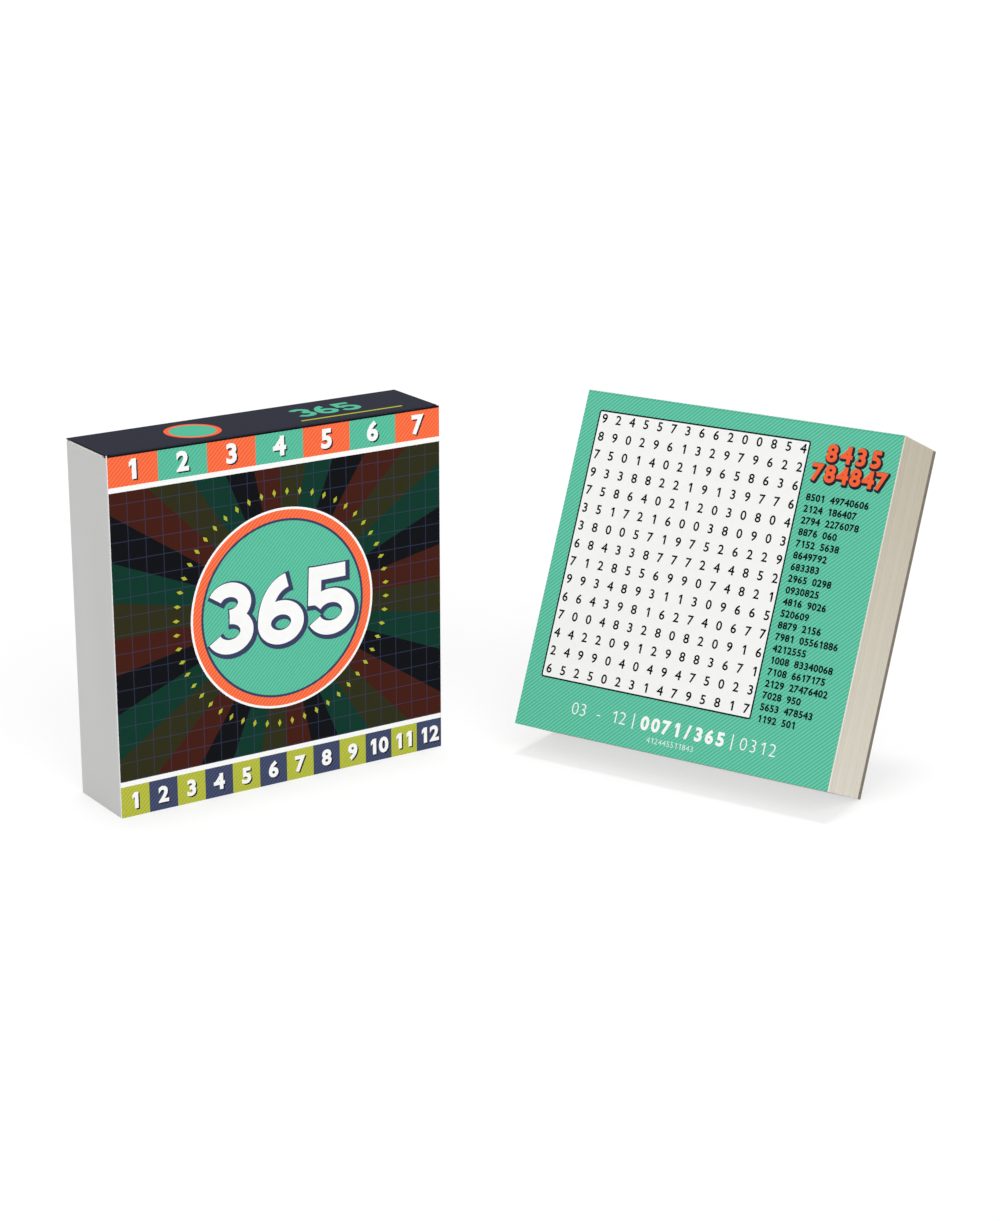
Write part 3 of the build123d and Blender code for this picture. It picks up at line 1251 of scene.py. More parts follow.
@dataclass(frozen=True)
class StrokeNumerals:
    """Large numerals drawn with a broad pen: arcs and straight strokes of one width, of unit height.

    Strokes that meet lie at slightly different heights, so that no two faces share a plane. Angles
    are degrees from the right, anticlockwise.
    """

    pen: float = 0.2
    upper: float = 0.19
    lower: float = 0.21
    widening: float = 1.22
    spacing: float = 1.35
    step: float = 0.2
    open_end: float = 155.0
    five_bar: float = 0.95
    five_stem_head: float = 0.9
    five_stem_foot: float = 0.46
    five_bowl_growth: float = 0.02
    five_bowl_start: float = 148.0
    six_reach: float = 0.42
    six_start: float = 82.0
    six_join: float = 170.0
    arc_steps: int = 48
    sweep_steps: int = 24
    line_steps: int = 5

    def number(self, text: str, height: float, across: float, base: float, grow: float = 0.0) -> Shape:
        """A centred number.

        Args:
            text: The digits.
            height: Their height.
            across: The number's middle.
            base: The height of its foot.
            grow: How far each stroke is grown all round.

        Returns:
            The number as one shape, still about a unit thick.
        """
        pitch = height * (2 * self.lower * self.widening + self.pen * self.spacing)
        start = across - pitch * (len(text) - 1) / 2
        shapes = []
        for place, digit in enumerate(text):
            for layer, path in enumerate(self._strokes(digit)):
                line = path * height + [start + place * pitch, base]
                shapes.append(self._stroke(line, self.pen * height / 2 + grow, grow, layer))
        return Shape.joined(shapes)

    def _strokes(self, digit: str) -> list[np.ndarray]:
        """The middle lines of a digit's strokes: a three, a five or a six.

        Args:
            digit: The digit.

        Returns:
            Each stroke's points.
        """
        low = self.pen / 2 + self.lower
        high = 1.0 - self.pen / 2 - self.upper
        top = 1.0 - self.pen / 2
        side = self.lower * self.widening
        if digit == "3":
            upper = self._arc(high, self.upper, self.open_end, -90.0)
            return [upper, self._arc(low, self.lower, 90.0, -self.open_end)]
        if digit == "5":
            head, foot = (-side * self.five_stem_head, 1.0), (-side, self.five_stem_foot)
            reach = side * self.five_bar
            grown = self.five_bowl_growth
            return [
                np.linspace(head, foot, self.line_steps),
                np.linspace((-reach, top), (reach, top), self.line_steps),
                self._arc(low + grown, self.lower + grown, self.five_bowl_start, -self.open_end),
            ]
        turn = np.radians(np.linspace(self.six_start, 0.0, self.sweep_steps))
        x = self.six_reach - side - self.six_reach * np.cos(turn)
        sweep = np.column_stack([x, low + (top - low) * np.sin(turn)])
        return [sweep, self._arc(low, self.lower, self.six_join, self.six_join + 360.0)]

    def _arc(self, middle: float, radius: float, start: float, end: float) -> np.ndarray:
        """A stroke's middle line along a widened circle, from one angle to another."""
        turn = np.radians(np.linspace(start, end, self.arc_steps))
        return np.column_stack([radius * self.widening * np.cos(turn), middle + radius * np.sin(turn)])

    def _stroke(self, path: np.ndarray, half: float, extra: float, layer: int) -> Shape:
        """A flat stroke: the path carried half the pen's width to either side of itself.

        Args:
            path: Points along the stroke's middle.
            half: Half the stroke's width.
            extra: How far the stroke runs on past both ends.
            layer: Which of the digit's strokes it is.

        Returns:
            The stroke as triangles.
        """
        along = np.gradient(path, axis=0)
        along /= np.linalg.norm(along, axis=1, keepdims=True)
        line = path.copy()
        line[0] -= along[0] * extra
        line[-1] += along[-1] * extra
        beside = np.column_stack([-along[:, 1], along[:, 0]]) * half
        level = np.full(len(line), -self.step / 2 * layer)
        edges = [np.column_stack([line - beside, level]), np.column_stack([line + beside, level])]
        sheet = thick_sheet(np.stack(edges, axis=1), 2 * HALF_UNIT)
        halves = np.concatenate([sheet.faces[:, [0, 1, 2]], sheet.faces[:, [0, 2, 3]]])
        return Shape(sheet.points, halves)


@dataclass(frozen=True)
class InkLayers:
    """How far ink stands proud of what it is printed on, layer over layer."""

    sunk: float = 0.004
    film: float = 0.016
    most: int = 2

    @property
    def proud(self) -> float:
        """How far all the layers together stand proud."""
        return self.film * self.most

    def lifted(self, shape: Shape, layer: int) -> Shape:
        """A printed shape as a film of ink: its unit of thickness squeezed into one layer.

        Args:
            shape: The shape.
            layer: The layer's number, from the bottom.

        Returns:
            The film.
        """
        points = shape.points.copy()
        low = self.film * layer - self.sunk
        points[:, 2] = low + (points[:, 2] + HALF_UNIT) * (self.film + self.sunk)
        return Shape(points, shape.faces)


LIGHT = NumeralFace(-0.016)
REGULAR = NumeralFace(0.018)
BOLD = NumeralFace(0.034)
HEAVY = NumeralFace(0.04)
DISPLAY = StrokeNumerals()
LAYERS = InkLayers()


def node_box(node: str) -> tuple[np.ndarray, np.ndarray]:
    """A node's lowest and highest corners, in millimetres."""
    low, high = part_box(node)
    return np.array(low) / MM, np.array(high) / MM


def joint_named(name: str) -> dict[str, Any]:
    """The record's joint of that name."""
    return next(joint for joint in frame["joints"] if joint["name"] == name)


def hinge_point(name: str) -> np.ndarray:
    """A point of a hinge's line, in millimetres."""
    return np.array(joint_named(name)["pos_m"]) / MM


def dress(node: str, material: bpy.types.Material) -> None:
    """Gives a node that stays as it is its finish.

    Args:
        node: The node's name.
        material: The finish.
    """
    mesh = frame["nodes"][node].data
    mesh.materials.clear()
    mesh.materials.append(material)
    LOG.info("%s: dressed", node)


@dataclass(frozen=True)
class BlockFrame:
    """The leaning block's own axes: across the page, up the page and out of it."""

    across: np.ndarray
    up: np.ndarray
    out: np.ndarray
    corner: np.ndarray
    width: float
    height: float

    @staticmethod
    def from_model() -> "BlockFrame":
        """Reads the axes from the joints and the page's size from the board.

        Returns:
            The frame, with its corner at the board's lower left corner, on its back face.
        """
        across = np.array(joint_named("easel_fold")["axis"])
        out = np.array(joint_named("tear_off")["axis"])
        up = np.cross(out, across)
        loose = BlockFrame(across, up, out, np.zeros(3), 0.0, 0.0)
        size, middle = loose.slab("back_board")
        corner = middle - loose.axes @ (size / 2)
        return BlockFrame(across, up, out, corner, float(size[0]), float(size[1]))

    @property
    def axes(self) -> np.ndarray:
        """The three axes as columns."""
        return np.column_stack([self.across, self.up, self.out])

    def slab(self, node: str) -> tuple[np.ndarray, np.ndarray]:
        """A leaning flat node's size along the block's axes, and the middle of its box."""
        # The upright box is the sum of the edges' shadows on each axis, so the edges can be solved for.
        low, high = node_box(node)
        return np.linalg.solve(np.abs(self.axes), high - low), (low + high) / 2

    def depths(self, node: str) -> tuple[float, float]:
        """How far a flat node stands out from the board's back face.

        Args:
            node: The node's name.

        Returns:
            The places of its back and its front.
        """
        size, middle = self.slab(node)
        centre = float((middle - self.corner) @ self.out)
        return centre - size[2] / 2, centre + size[2] / 2

    @property
    def leaf(self) -> float:
        """The thickness of one leaf."""
        back, front = self.depths("today_leaf")
        return front - back

    def point(self, across: np.ndarray, up: np.ndarray, out: np.ndarray) -> np.ndarray:
        """Points given along the block's axes, in the model's frame."""
        return self.corner + np.stack(np.broadcast_arrays(across, up, out), axis=-1) @ self.axes.T


@dataclass
class PageBlock:
    """The padded pages: every pad a stack of single sheets, none quite flush with the next.

    A sheet's setback at a cut edge is a drift that changes slowly through the pad, plus a scatter
    of its own. Its tone follows the same drift.
    """

    TONE = "sheet_tone"
    WHITEST = 2.0
    CORNERS = np.array([[(i >> axis) & 1 for axis in range(3)] for i in range(8)])
    SIDES = np.array([[0, 2, 3, 1], [4, 5, 7, 6], [0, 1, 5, 4], [2, 6, 7, 3], [0, 4, 6, 2], [1, 3, 7, 5]])

    block: BlockFrame
    pads: Sequence[str]
    sheet_gap: float = 0.006
    ragged: float = 0.10
    drift_run: int = 9
    drift_share: float = 0.8
    scatter: float = 0.35
    tone: float = 0.25
    tone_drift: float = 0.14
    tone_scatter: float = 0.06
    # Painted highlight along the block's front edge: how many of its first sheets fade down from paper
    # white.
    painted_highlight_sheets: int = 7
    # Painted light: how much paler each sheet is at its foot, for the light thrown up from the floor.
    painted_floor_bounce: float = 0.7

    def build(self) -> None:
        """Makes each pad's stack of sheets and lets it stand for the pad's node."""
        paper = PageStock().material()
        random = np.random.default_rng(SEED)
        for number, pad in enumerate(self.pads):
            piece = self._stack(pad, number, random).piece(f"{pad}_sheets", paper)
            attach(piece, "calendar")
            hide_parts(pad)

    def _stack(self, pad: str, number: int, random: np.random.Generator) -> Shape:
        """One pad as thin boxes: each sheet keeps its own small setback at the three cut edges.

        Args:
            pad: The pad's node.
            number: The pad's place in the block, from the front.
            random: The source of the setbacks.

        Returns:
            The stack, with each sheet's tone, which is paler towards the foot as painted light from the
            floor and in the block's first sheets as a painted highlight. The first pad's first leaf is
            left out, because it is a printed one.
        """
        back, front = self.block.depths(pad)
        size, _ = self.block.slab(pad)
        front -= self.block.leaf if number == 0 else 0.0
        count = round((front - back) / self.block.leaf)
        run = np.ones(self.drift_run) / self.drift_run
        drift = np.convolve(random.normal(0.0, 1.0, count + self.drift_run - 1), run, "valid")
        scatter = random.normal(0.0, self.scatter, (count, 3))
        left, right, foot = np.abs(drift * self.drift_share + scatter.T) * self.ragged
        pitch = (front - back) / count
        level = front - (np.arange(count) + 0.5) * pitch
        half = (pitch - self.sheet_gap) / 2
        lows = np.stack([left, foot, level - half], axis=1)
        highs = np.stack([size[0] - right, np.full(count, size[1]), level + half], axis=1)
        corners = np.where(self.CORNERS, highs[:, None, :], lows[:, None, :])
        faces = self.SIDES + len(self.CORNERS) * np.arange(count)[:, None, None]
        tone = self.tone + self.tone_drift * drift + random.normal(0.0, self.tone_scatter, count)
        place = number * count + np.arange(count)
        # Painted highlight: the block's first sheets are whitest, for the light along its front edge.
        tone = np.maximum(tone, self.WHITEST - place / self.painted_highlight_sheets)
        # Painted light: every sheet paler towards its foot, for the light thrown up from the floor.
        tone = tone[:, None] + self.painted_floor_bounce * (1 - self.CORNERS[:, 1])
        carried = {self.TONE: np.clip(tone, 0.0, self.WHITEST).ravel()}
        return Shape(self.block.point(*corners.reshape(-1, 3).T), faces.reshape(-1, 4), carried)


@dataclass
class LooseLeaf:
    """One printed leaf at the front of the block, with its numbers in ink.

    Its rows lie closer together towards the glued edge.
    """

    block: BlockFrame
    name: str
    ground: Ink
    line: Ink
    accent: Ink
    day: int
    text: Ink = Ink.BLACK
    clearance: float = 0.004
    bends_over: float = 18.0
    rows: int = 61
    crowding: float = 1.6
    columns: int = 21
    layout: LeafLayout = LeafLayout()

    @property
    def node(self) -> str:
        """The leaf's node."""
        return f"{self.name}_leaf"

    @property
    def body(self) -> str:
        """The body that the leaf moves with."""
        return f"{self.name}_sheet"

    @property
    def bends(self) -> bool:
        """Whether the leaf is still bound at its top, by a joint from the calendar."""
        return any(j["parent"] == "calendar" and j["child"] == self.body for j in frame["joints"])

    @property
    def depths(self) -> tuple[float, float]:
        """How far the leaf's back and front stand out from the board's back face."""
        return self.block.depths(self.node)

    @property
    def printed(self) -> LeafGround:
        """The leaf's printed ground."""
        return LeafGround(self.ground, self.line, self.layout)

    def build(self, inks: dict[Ink, bpy.types.Material]) -> None:
        """Makes the leaf and its print, which together fill the leaf's thickness.

        Args:
            inks: The ink materials.
        """
        block = self.block
        back = self.depths[0] + self.clearance
        front = self.depths[1] - self.clearance - LAYERS.proud
        finish = PrintedLeaf(self.printed, block.width, block.height)
        piece = self._sheet(back, front).piece(f"{self.name}_printed_leaf", finish.material())
        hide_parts(self.node)
        self._attach(piece)
        for title, shape, ink in LeafNumbers(self.layout, self.accent, self.text, self.day).layers():
            placed = shape.moved(lambda x, y, lift: block.point(x, y, front + lift))
            self._attach(placed.piece(f"{self.name}_{title}", inks[ink]))

    def _sheet(self, back: float, front: float) -> Shape:
        """The bare leaf as a thin sheet that knows its place on the page.

        Args:
            back: How far its back stands out from the board's back face.
            front: How far its front does.

        Returns:
            The sheet.
        """
        block = self.block
        size, middle = block.slab(self.node)
        foot = float((middle - block.corner) @ block.up) - size[1] / 2
        near = np.linspace(0.0, 1.0, self.rows) ** self.crowding
        rise = foot + size[1] * (1.0 - near)[::-1]
        up, across = np.meshgrid(rise, np.linspace(0.0, size[0], self.columns))
        sheet = thick_sheet(block.point(across, up, (back + front) / 2), front - back)
        page = np.column_stack([across.ravel() / block.width, up.ravel() / block.height])
        sheet.page = np.concatenate([page, page])
        return sheet

    def _attach(self, piece: bpy.types.Object) -> None:
        """Lets a piece move with the leaf's body, or, where the leaf is still bound at its top, bakes its
        place into its mesh.

        Args:
            piece: The piece.
        """
        if not self.bends:
            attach(piece, self.body)
            return
        top = self.block.height
        ends = self.block.point(0.0, [top, top - self.bends_over], self.depths[0]) * MM
        self.body
        tuple(ends[0])
        tuple(ends[1])
        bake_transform(piece)


@dataclass
class FirstLeaf(LooseLeaf):
    """The first leaf, whose top strip is a node of its own that stays in the glue."""

    def build(self, inks: dict[Ink, bpy.types.Material]) -> None:
        """Makes the leaf and dresses its strip."""
        super().build(inks)
        dress(f"{self.name}_glue_line", GluedStrip(self.printed, self.block).material())


@dataclass
class BoundLeaf(LooseLeaf):
    """The printed leaf on the front of the first pad, which doesn't lift by itself."""

    @property
    def node(self) -> str:
        """The pad that the leaf belongs to."""
        return f"{self.name}_pad"

    @property
    def body(self) -> str:
        """The body that the leaf moves with."""
        return "calendar"

    @property
    def depths(self) -> tuple[float, float]:
        """The pad's first leaf: its back and its front."""
        _, front = self.block.depths(self.node)
        return front - self.block.leaf, front


class Draw(Enum):
    """Where each printed group starts among a leaf's steady series of digits."""

    SQUARE = 0
    BADGE = 50
    SMALL = 70
    LIST_LENGTHS = 97
    LIST = 100


@dataclass(frozen=True)
class LeafNumbers:
    """The numbers printed on a leaf: a square of digits, a list, a badge and the date."""

    MONTH = 3
    DAYS_BEFORE_MONTH = 59

    layout: LeafLayout
    accent: Ink
    text: Ink
    day: int

    def layers(self) -> list[tuple[str, Shape, Ink]]:
        """Each printed group.

        Returns:
            The groups' names, their films of ink and their inks.
        """
        groups = [
            ("number_square", self._square(), 0, Ink.BLACK),
            ("number_list", self._list(), 0, self.text),
            ("badge_outline", self._badge_outline(), 0, Ink.CHARCOAL),
            ("badge_numerals", self._badge(), 1, self.accent),
            ("date_line", self._date(), 0, Ink.WHITE),
        ]
        return [(title, LAYERS.lifted(shape, layer), ink) for title, shape, layer, ink in groups]

    def _random(self, draw: Draw, row: int = 0) -> np.random.Generator:
        """The leaf's own series for a row of a printed group."""
        return np.random.default_rng((self.day, draw.value + row))

    def _digits(self, count: int, draw: Draw, row: int = 0) -> str:
        """A steady run of digits for this leaf."""
        return "".join(self._random(draw, row).choice(list(NUMERALS), count))

    def _square(self) -> Shape:
        """Rows of single digits, each in the middle of its own cell.

        Returns:
            The digits as one shape.
        """
        layout = self.layout
        height = layout.grid_height
        cells = []
        for row in range(layout.grid_count):
            base = layout.grid_top - row * layout.grid_step_down - height / 2
            for column, digit in enumerate(self._digits(layout.grid_count, Draw.SQUARE, row)):
                across = layout.grid_left + column * layout.grid_step_across
                cells.append(REGULAR.line(digit, height, across, base, Align.MIDDLE))
        return Shape.joined(cells)

    def _list(self) -> Shape:
        """A column of numbers of uneven length, set to the left, the long ones in two parts.

        Returns:
            The numbers as one shape.
        """
        layout = self.layout
        first = layout.list_first_part
        lengths = self._random(Draw.LIST_LENGTHS).integers(*layout.list_lengths, layout.list_count)
        lines = []
        for row, length in enumerate(lengths):
            text = self._digits(int(length), Draw.LIST, row)
            if length >= layout.list_splits_from:
                text = f"{text[:first]} {text[first + 1:]}"
            base = layout.list_top - row * layout.list_step - layout.list_height / 2
            lines.append(BOLD.line(text, layout.list_height, layout.list_left, base))
        return Shape.joined(lines)

    def _badge(self) -> Shape:
        """Two short rows of heavy numerals.

        Returns:
            The rows as one shape.
        """
        layout = self.layout
        rows = []
        for row, (count, (base, start, end)) in enumerate(zip(layout.badge_counts, layout.badge_rows)):
            digits = self._digits(count, Draw.BADGE, row)
            rows.append(HEAVY.spread(digits, layout.badge_height, start, end, base))
        return Shape.joined(rows)

    def _badge_outline(self) -> Shape:
        """The badge's dark outline, which also drops down to the right.

        Returns:
            The outline.
        """
        drop = self.layout.badge_drop
        grown = halo(self._badge(), self.layout.badge_outline)
        grown.points += [drop, -drop, 0.0]
        return grown

    def _date(self) -> Shape:
        """The date line in plain numbers: light, heavy, light, with thin bars and a small line under it.

        Returns:
            The light numbers, the bars, the heavy number and the small line as one shape.
        """
        layout = self.layout
        month_day = self.day - self.DAYS_BEFORE_MONTH
        month = f"{self.MONTH:02d}"
        texts = (f"{month} - {month_day:02d}", f"{self.day:04d}/{YEAR_DAYS}", f"{month}{month_day:02d}")
        first, heavy, last = (
            face.spread(text, layout.date_height, start, end, layout.date_base)
            for face, text, (start, end) in zip((LIGHT, HEAVY, LIGHT), texts, layout.date_spans)
        )
        half = layout.bar_width / 2
        low = layout.date_base - layout.date_height * layout.bar_below
        high = layout.date_base + layout.date_height * layout.bar_above
        bars = [bar(x - half, x + half, low, high) for x in layout.bars]
        digits = self._digits(layout.small_count, Draw.SMALL)
        place = (layout.small_height, layout.small_middle, layout.small_base)
        small = LIGHT.line(digits, *place, Align.MIDDLE)
        return Shape.joined([first, last, *bars, heavy, small])


@dataclass
class EaselBack:
    """The greyboard back and its leg, with the board's skin running across the leg's crease."""

    block: BlockFrame
    crease_width: float = 21.6
    crease_reach: float = 5.0
    skin: float = 0.12
    skin_clearance: float = 0.01
    bend_length: float = 3.0
    open_angle: float = 36.0
    rows: int = 41
    columns: int = 9

    def build(self) -> None:
        """Dresses the board, the leg and the glue, and adds the crease's skin."""
        board = Greyboard().material()
        glue = PaddingGlue().material()
        for node in ("back_board", "easel_leg"):
            dress(node, board)
        dress("glue_film", glue)
        piece = self._crease().piece("leg_crease_skin", board)
        hinge = hinge_point("easel_fold") * MM
        reach = self.block.up * self.bend_length / 2 * MM
        tuple(hinge + reach)
        tuple(hinge - reach)
        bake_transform(piece)

    def _crease(self) -> Shape:
        """A strip of skin that lies on the board above the crease and on the leg below it.

        Each point is turned about the hinge by the leg's angle times a smooth step.

        Returns:
            The strip.
        """
        slide = np.linspace(self.crease_reach, -self.crease_reach, self.rows)
        share = np.clip(0.5 - slide / self.bend_length, 0.0, 1.0)
        angle = math.radians(self.open_angle) * smooth_step(share)
        lift = self.skin / 2 + self.skin_clearance
        up = slide * np.cos(angle) - lift * np.sin(angle)
        behind = -slide * np.sin(angle) + lift * np.cos(angle)
        side = np.linspace(self.crease_width / 2, -self.crease_width / 2, self.columns)
        offsets = np.stack(np.broadcast_arrays(side, up[:, None], -behind[:, None]), axis=-1)
        return thick_sheet(hinge_point("easel_fold") + offsets @ self.block.axes.T, self.skin)


@dataclass
class Carton:
    """The tuck-top carton: creased walls, a printed front, a closure and its flaps.

    The walls end a crease's drop below the hinge lines, where the bent card of the creases starts.
    """

    card: float = 0.5
    corner: float = 0.8
    bow: float = 0.25
    wall_steps: int = 24
    corner_steps: int = 7
    rise_steps: int = 17
    step_gap: float = 0.03
    lid_card: float = 0.44
    lid_drop: float = 0.05
    lid_columns: int = 31
    panel_steps: int = 14
    bend_radius: float = 0.8
    bend_steps: int = 9
    lip_length: float = 10.5
    lip_in_bend: float = 1.6
    lip_tilt: float = 10.0
    lip_setback: float = 2.3
    lip_corner: float = 5.0
    lip_steps: int = 18
    lip_crowding: float = 0.7
    crease_drop: float = 0.1
    crease_setback: float = 0.6
    crease_steps: tuple[int, int] = (9, 25)
    seam_width: float = 14.0
    seam_taper: float = 5.0
    seam_clear: float = 2.0
    seam_side_gap: float = 0.05
    seam_back_gap: float = 0.02
    seam_steps: tuple[int, int] = (9, 25)
    cover: CoverLayout = CoverLayout()
    lid: LidLayout = LidLayout()

    def __post_init__(self) -> None:
        """Reads the walls' and the closure's boxes and the hinge lines' heights from the model."""
        self.low, self.high = node_box("carton_sleeve")
        self.size = self.high - self.low
        self.lid_low, self.lid_high = node_box("tuck_closure")
        self.flap_level = hinge_point("left_flap_open")[2]
        self.side_top = self.flap_level - self.crease_drop
        self.back_top = hinge_point("closure_open")[2] - self.crease_drop

    def build(self, inks: dict[Ink, bpy.types.Material]) -> None:
        """Makes the walls, the closure and the creases, and prints the numerals.

        Args:
            inks: The ink materials.
        """
        card = PlainCard().material()
        cover = CoverPrint(self.low[0], self.low[1], self.size[0], self.size[2], self.cover)
        sleeve = self._walls().piece("carton_walls", cover.material())
        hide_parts("carton_sleeve")
        self._ride(sleeve, "carton", "printed_carton")
        self._ride(self._seam().piece("carton_seam", card), "carton", "plain_card")
        lid_depth = self.lid_high[1] - self.lid_low[1]
        printed = LidPrint(self.lid_low[0], self.lid_low[1], lid_depth, self.lid).material()
        lid = self._closure().piece("closure_panel", printed)
        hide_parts("tuck_closure")
        self._ride(lid, "closure", "printed_carton")
        for side in ("left", "right"):
            dress(f"{side}_dust_flap", card)
            dress(f"bottom_{side}_flap", card)
        for layer in ("outer", "inner"):
            dress(f"bottom_{layer}_flap", card)
        self._lid_crease(printed)
        self._flap_creases(card)
        self._print_front(inks)
        self._print_lid(inks)

    @staticmethod
    def _ride(piece: bpy.types.Object, body: str, slot: str) -> None:
        """Lets a piece move with a body."""
        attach(piece, body)

    def front_point(self, across: np.ndarray, up: np.ndarray, lift: np.ndarray) -> np.ndarray:
        """Points on the bowed front, from its lower left corner, lifted off it."""
        swell = self.bow * half_wave(across / self.size[0]) * half_wave(up / self.size[2])
        return np.column_stack([self.low[0] + across, self.low[1] - swell - lift, self.low[2] + up])

    def lid_point(self, across: np.ndarray, back: np.ndarray, lift: np.ndarray) -> np.ndarray:
        """Points on the closure's top, from its front left corner, lifted off it."""
        top = self.high[2] - self.lid_drop
        return np.column_stack([self.lid_low[0] + across, self.lid_low[1] + back, top + lift])

    def _walls(self) -> Shape:
        """The four walls as one ring: straight runs and corner arcs, each with its own top edge.

        A wall's middle swells by a smooth wave both ways, outwards at the front and inwards elsewhere.

        Returns:
            The walls.
        """
        radius = self.corner - self.card / 2
        left, front = self.low[:2] + self.corner
        right, back = self.high[:2] - self.corner
        full, side_top, back_top = self.high[2], self.side_top, self.back_top
        # Each wall's start and end, the way it faces, its own top, the next corner's top and its bow.
        runs = [
            ((left, front), (right, front), -90.0, full, full, self.bow),
            ((right, front), (right, back), 0.0, side_top, back_top, -self.bow),
            ((right, back), (left, back), 90.0, back_top, back_top, -self.bow),
            ((left, back), (left, front), 180.0, side_top, full, -self.bow),
        ]
        columns, tops, swells, outs = [], [], [], []
        for start, end, facing, top, corner_top, bow in runs:
            turn = math.radians(facing)
            out = np.array([math.cos(turn), math.sin(turn)])
            along = np.array(end) - np.array(start)
            gap = self.step_gap / np.linalg.norm(along)
            share = np.linspace(gap, 1.0 - gap, self.wall_steps)
            bend = turn + np.linspace(0.0, np.pi / 2, self.corner_steps)
            arc = np.column_stack([np.cos(bend), np.sin(bend)])
            straight = np.array(start) + share[:, None] * along + out * radius
            columns += [straight, np.array(end) + arc * radius]
            tops += [np.full(self.wall_steps, top), np.full(self.corner_steps, corner_top)]
            swells += [bow * half_wave(share), np.zeros(self.corner_steps)]
            outs += [np.tile(out, (self.wall_steps, 1)), arc]
        rise = np.linspace(0.0, 1.0, self.rise_steps)
        push = np.concatenate(swells)[:, None] * half_wave(rise)
        flat = np.concatenate(columns)[:, None, :] + push[..., None] * np.concatenate(outs)[:, None, :]
        height = np.concatenate(tops)[:, None] * rise
        walls = thick_sheet(np.concatenate([flat, height[..., None]], axis=2), self.card, ring=True)
        walls.points[:, 2] = np.clip(walls.points[:, 2], self.low[2], self.high[2])
        return walls

    def _seam(self) -> Shape:
        """The glue flap inside the back wall: a tapered sheet along the right corner.

        Returns:
            The flap.
        """
        inner_right = self.high[0] - self.card - self.seam_side_gap
        middle = self.high[1] - self.card - self.card / 2 - self.bow - self.seam_back_gap
        across, rise = (np.linspace(0.0, 1.0, steps) for steps in self.seam_steps)
        share, rise = np.meshgrid(across, rise, indexing="ij")
        draw_in = self.seam_clear + self.seam_taper * (1.0 - share)
        head = self.flap_level - draw_in
        x = inner_right - self.seam_width * (1.0 - share)
        grid = np.stack([x, np.full(x.shape, middle), draw_in + (head - draw_in) * rise], axis=2)
        return thick_sheet(grid, self.card)

    def _closure(self) -> Shape:
        """The closure: a panel that bends down into the lip, whose width follows its outline.

        The profile is a straight panel, an arc and a leaning straight lip; the half width is the
        panel's, then the lip's, drawn in by a quarter circle at its end.

        Returns:
            The closure.
        """
        low, high = self.lid_low, self.lid_high
        tilt = math.radians(90.0 + self.lip_tilt)
        radius = self.bend_radius - self.lid_card / 2
        level = self.high[2] - self.lid_drop - self.lid_card / 2
        start = low[1] + self.bend_radius
        panel = np.linspace(high[1], start, self.panel_steps)
        arc = np.linspace(0.0, tilt, self.bend_steps)[1:]
        lip = np.linspace(0.0, 1.0, self.lip_steps)[1:] ** self.lip_crowding
        lip *= self.lip_length - self.lip_in_bend
        arc_y = start - radius * np.sin(arc)
        arc_z = level - radius + radius * np.cos(arc)
        y = np.concatenate([panel, arc_y, arc_y[-1] - lip * math.cos(tilt)])
        z = np.concatenate([np.full(len(panel), level), arc_z, arc_z[-1] - lip * math.sin(tilt)])
        round_in = np.clip(self.lip_corner - (lip[-1] - lip), 0.0, self.lip_corner)
        drawn = self.lip_corner - np.sqrt(self.lip_corner**2 - round_in**2)
        half_panel = (high[0] - low[0]) / 2
        half_lip = half_panel - self.lip_setback
        halves = [np.full(len(panel), half_panel), np.full(len(arc), half_lip), half_lip - drawn]
        share = np.linspace(-1.0, 1.0, self.lid_columns)
        x = (low[0] + high[0]) / 2 + np.concatenate(halves)[:, None] * share
        grid = np.stack(np.broadcast_arrays(x, y[:, None], z[:, None]), axis=2)
        return thick_sheet(grid, self.lid_card)

    def _lid_crease(self, printed: bpy.types.Material) -> None:
        """Adds the bent card where the closure turns.

        Args:
            printed: The closure's finish.
        """
        wall = np.array([self.high[1], self.back_top])
        edge = np.array([self.lid_high[1], self.high[2] - self.lid_drop])
        shape = self._bent_card(wall, edge, self.lid_low[0], self.lid_high[0], self.lid_card)
        shape.points = shape.points[:, [2, 0, 1]]
        piece = shape.piece("closure_crease", printed)
        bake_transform(piece)

    def _flap_creases(self, card: bpy.types.Material) -> None:
        """Adds the bent card where the dust flaps turn.

        Args:
            card: The flaps' finish.
        """
        for inner, (side, wall) in enumerate((("left", self.low[0]), ("right", self.high[0]))):
            box = node_box(f"{side}_dust_flap")
            foot = np.array([wall, self.side_top])
            edge = np.array([box[inner][0], box[1][2]])
            first, last = box[0][1] + self.crease_setback, box[1][1] - self.crease_setback
            shape = self._bent_card(foot, edge, first, last, self.card)
            shape.points = shape.points[:, [0, 2, 1]]
            shape.faces = shape.faces[:, ::-1]
            piece = shape.piece(f"{side}_flap_crease", card)
            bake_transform(piece)

    def _bent_card(
        self, foot: np.ndarray, edge: np.ndarray, start: float, end: float, card: float
    ) -> Shape:
        """Card bent a quarter turn from a wall's outer top edge to a flap's outer edge.

        The card's middle is a quarter of an ellipse between the two, drawn in by half the card, and
        it is carried along the crease.

        Args:
            foot: The wall's outer top edge, as (outwards, up).
            edge: The flap's outer edge, as (outwards, up).
            start: Where the crease starts along its line.
            end: Where it ends.
            card: The card's thickness.

        Returns:
            The bent card, with its points as (outwards, up, along).
        """
        turn_steps, along_steps = self.crease_steps
        turn = np.linspace(0.0, np.pi / 2, turn_steps)
        side = np.sign(foot[0] - edge[0])
        reach = np.abs(foot - edge) - card / 2
        x = edge[0] + side * np.cos(turn) * reach[0]
        z = foot[1] + np.sin(turn) * reach[1]
        along = np.linspace(start, end, along_steps)
        grid = np.stack(np.broadcast_arrays(x[:, None], z[:, None], along), axis=2)
        return thick_sheet(grid[:, ::-1] if side < 0 else grid, card)

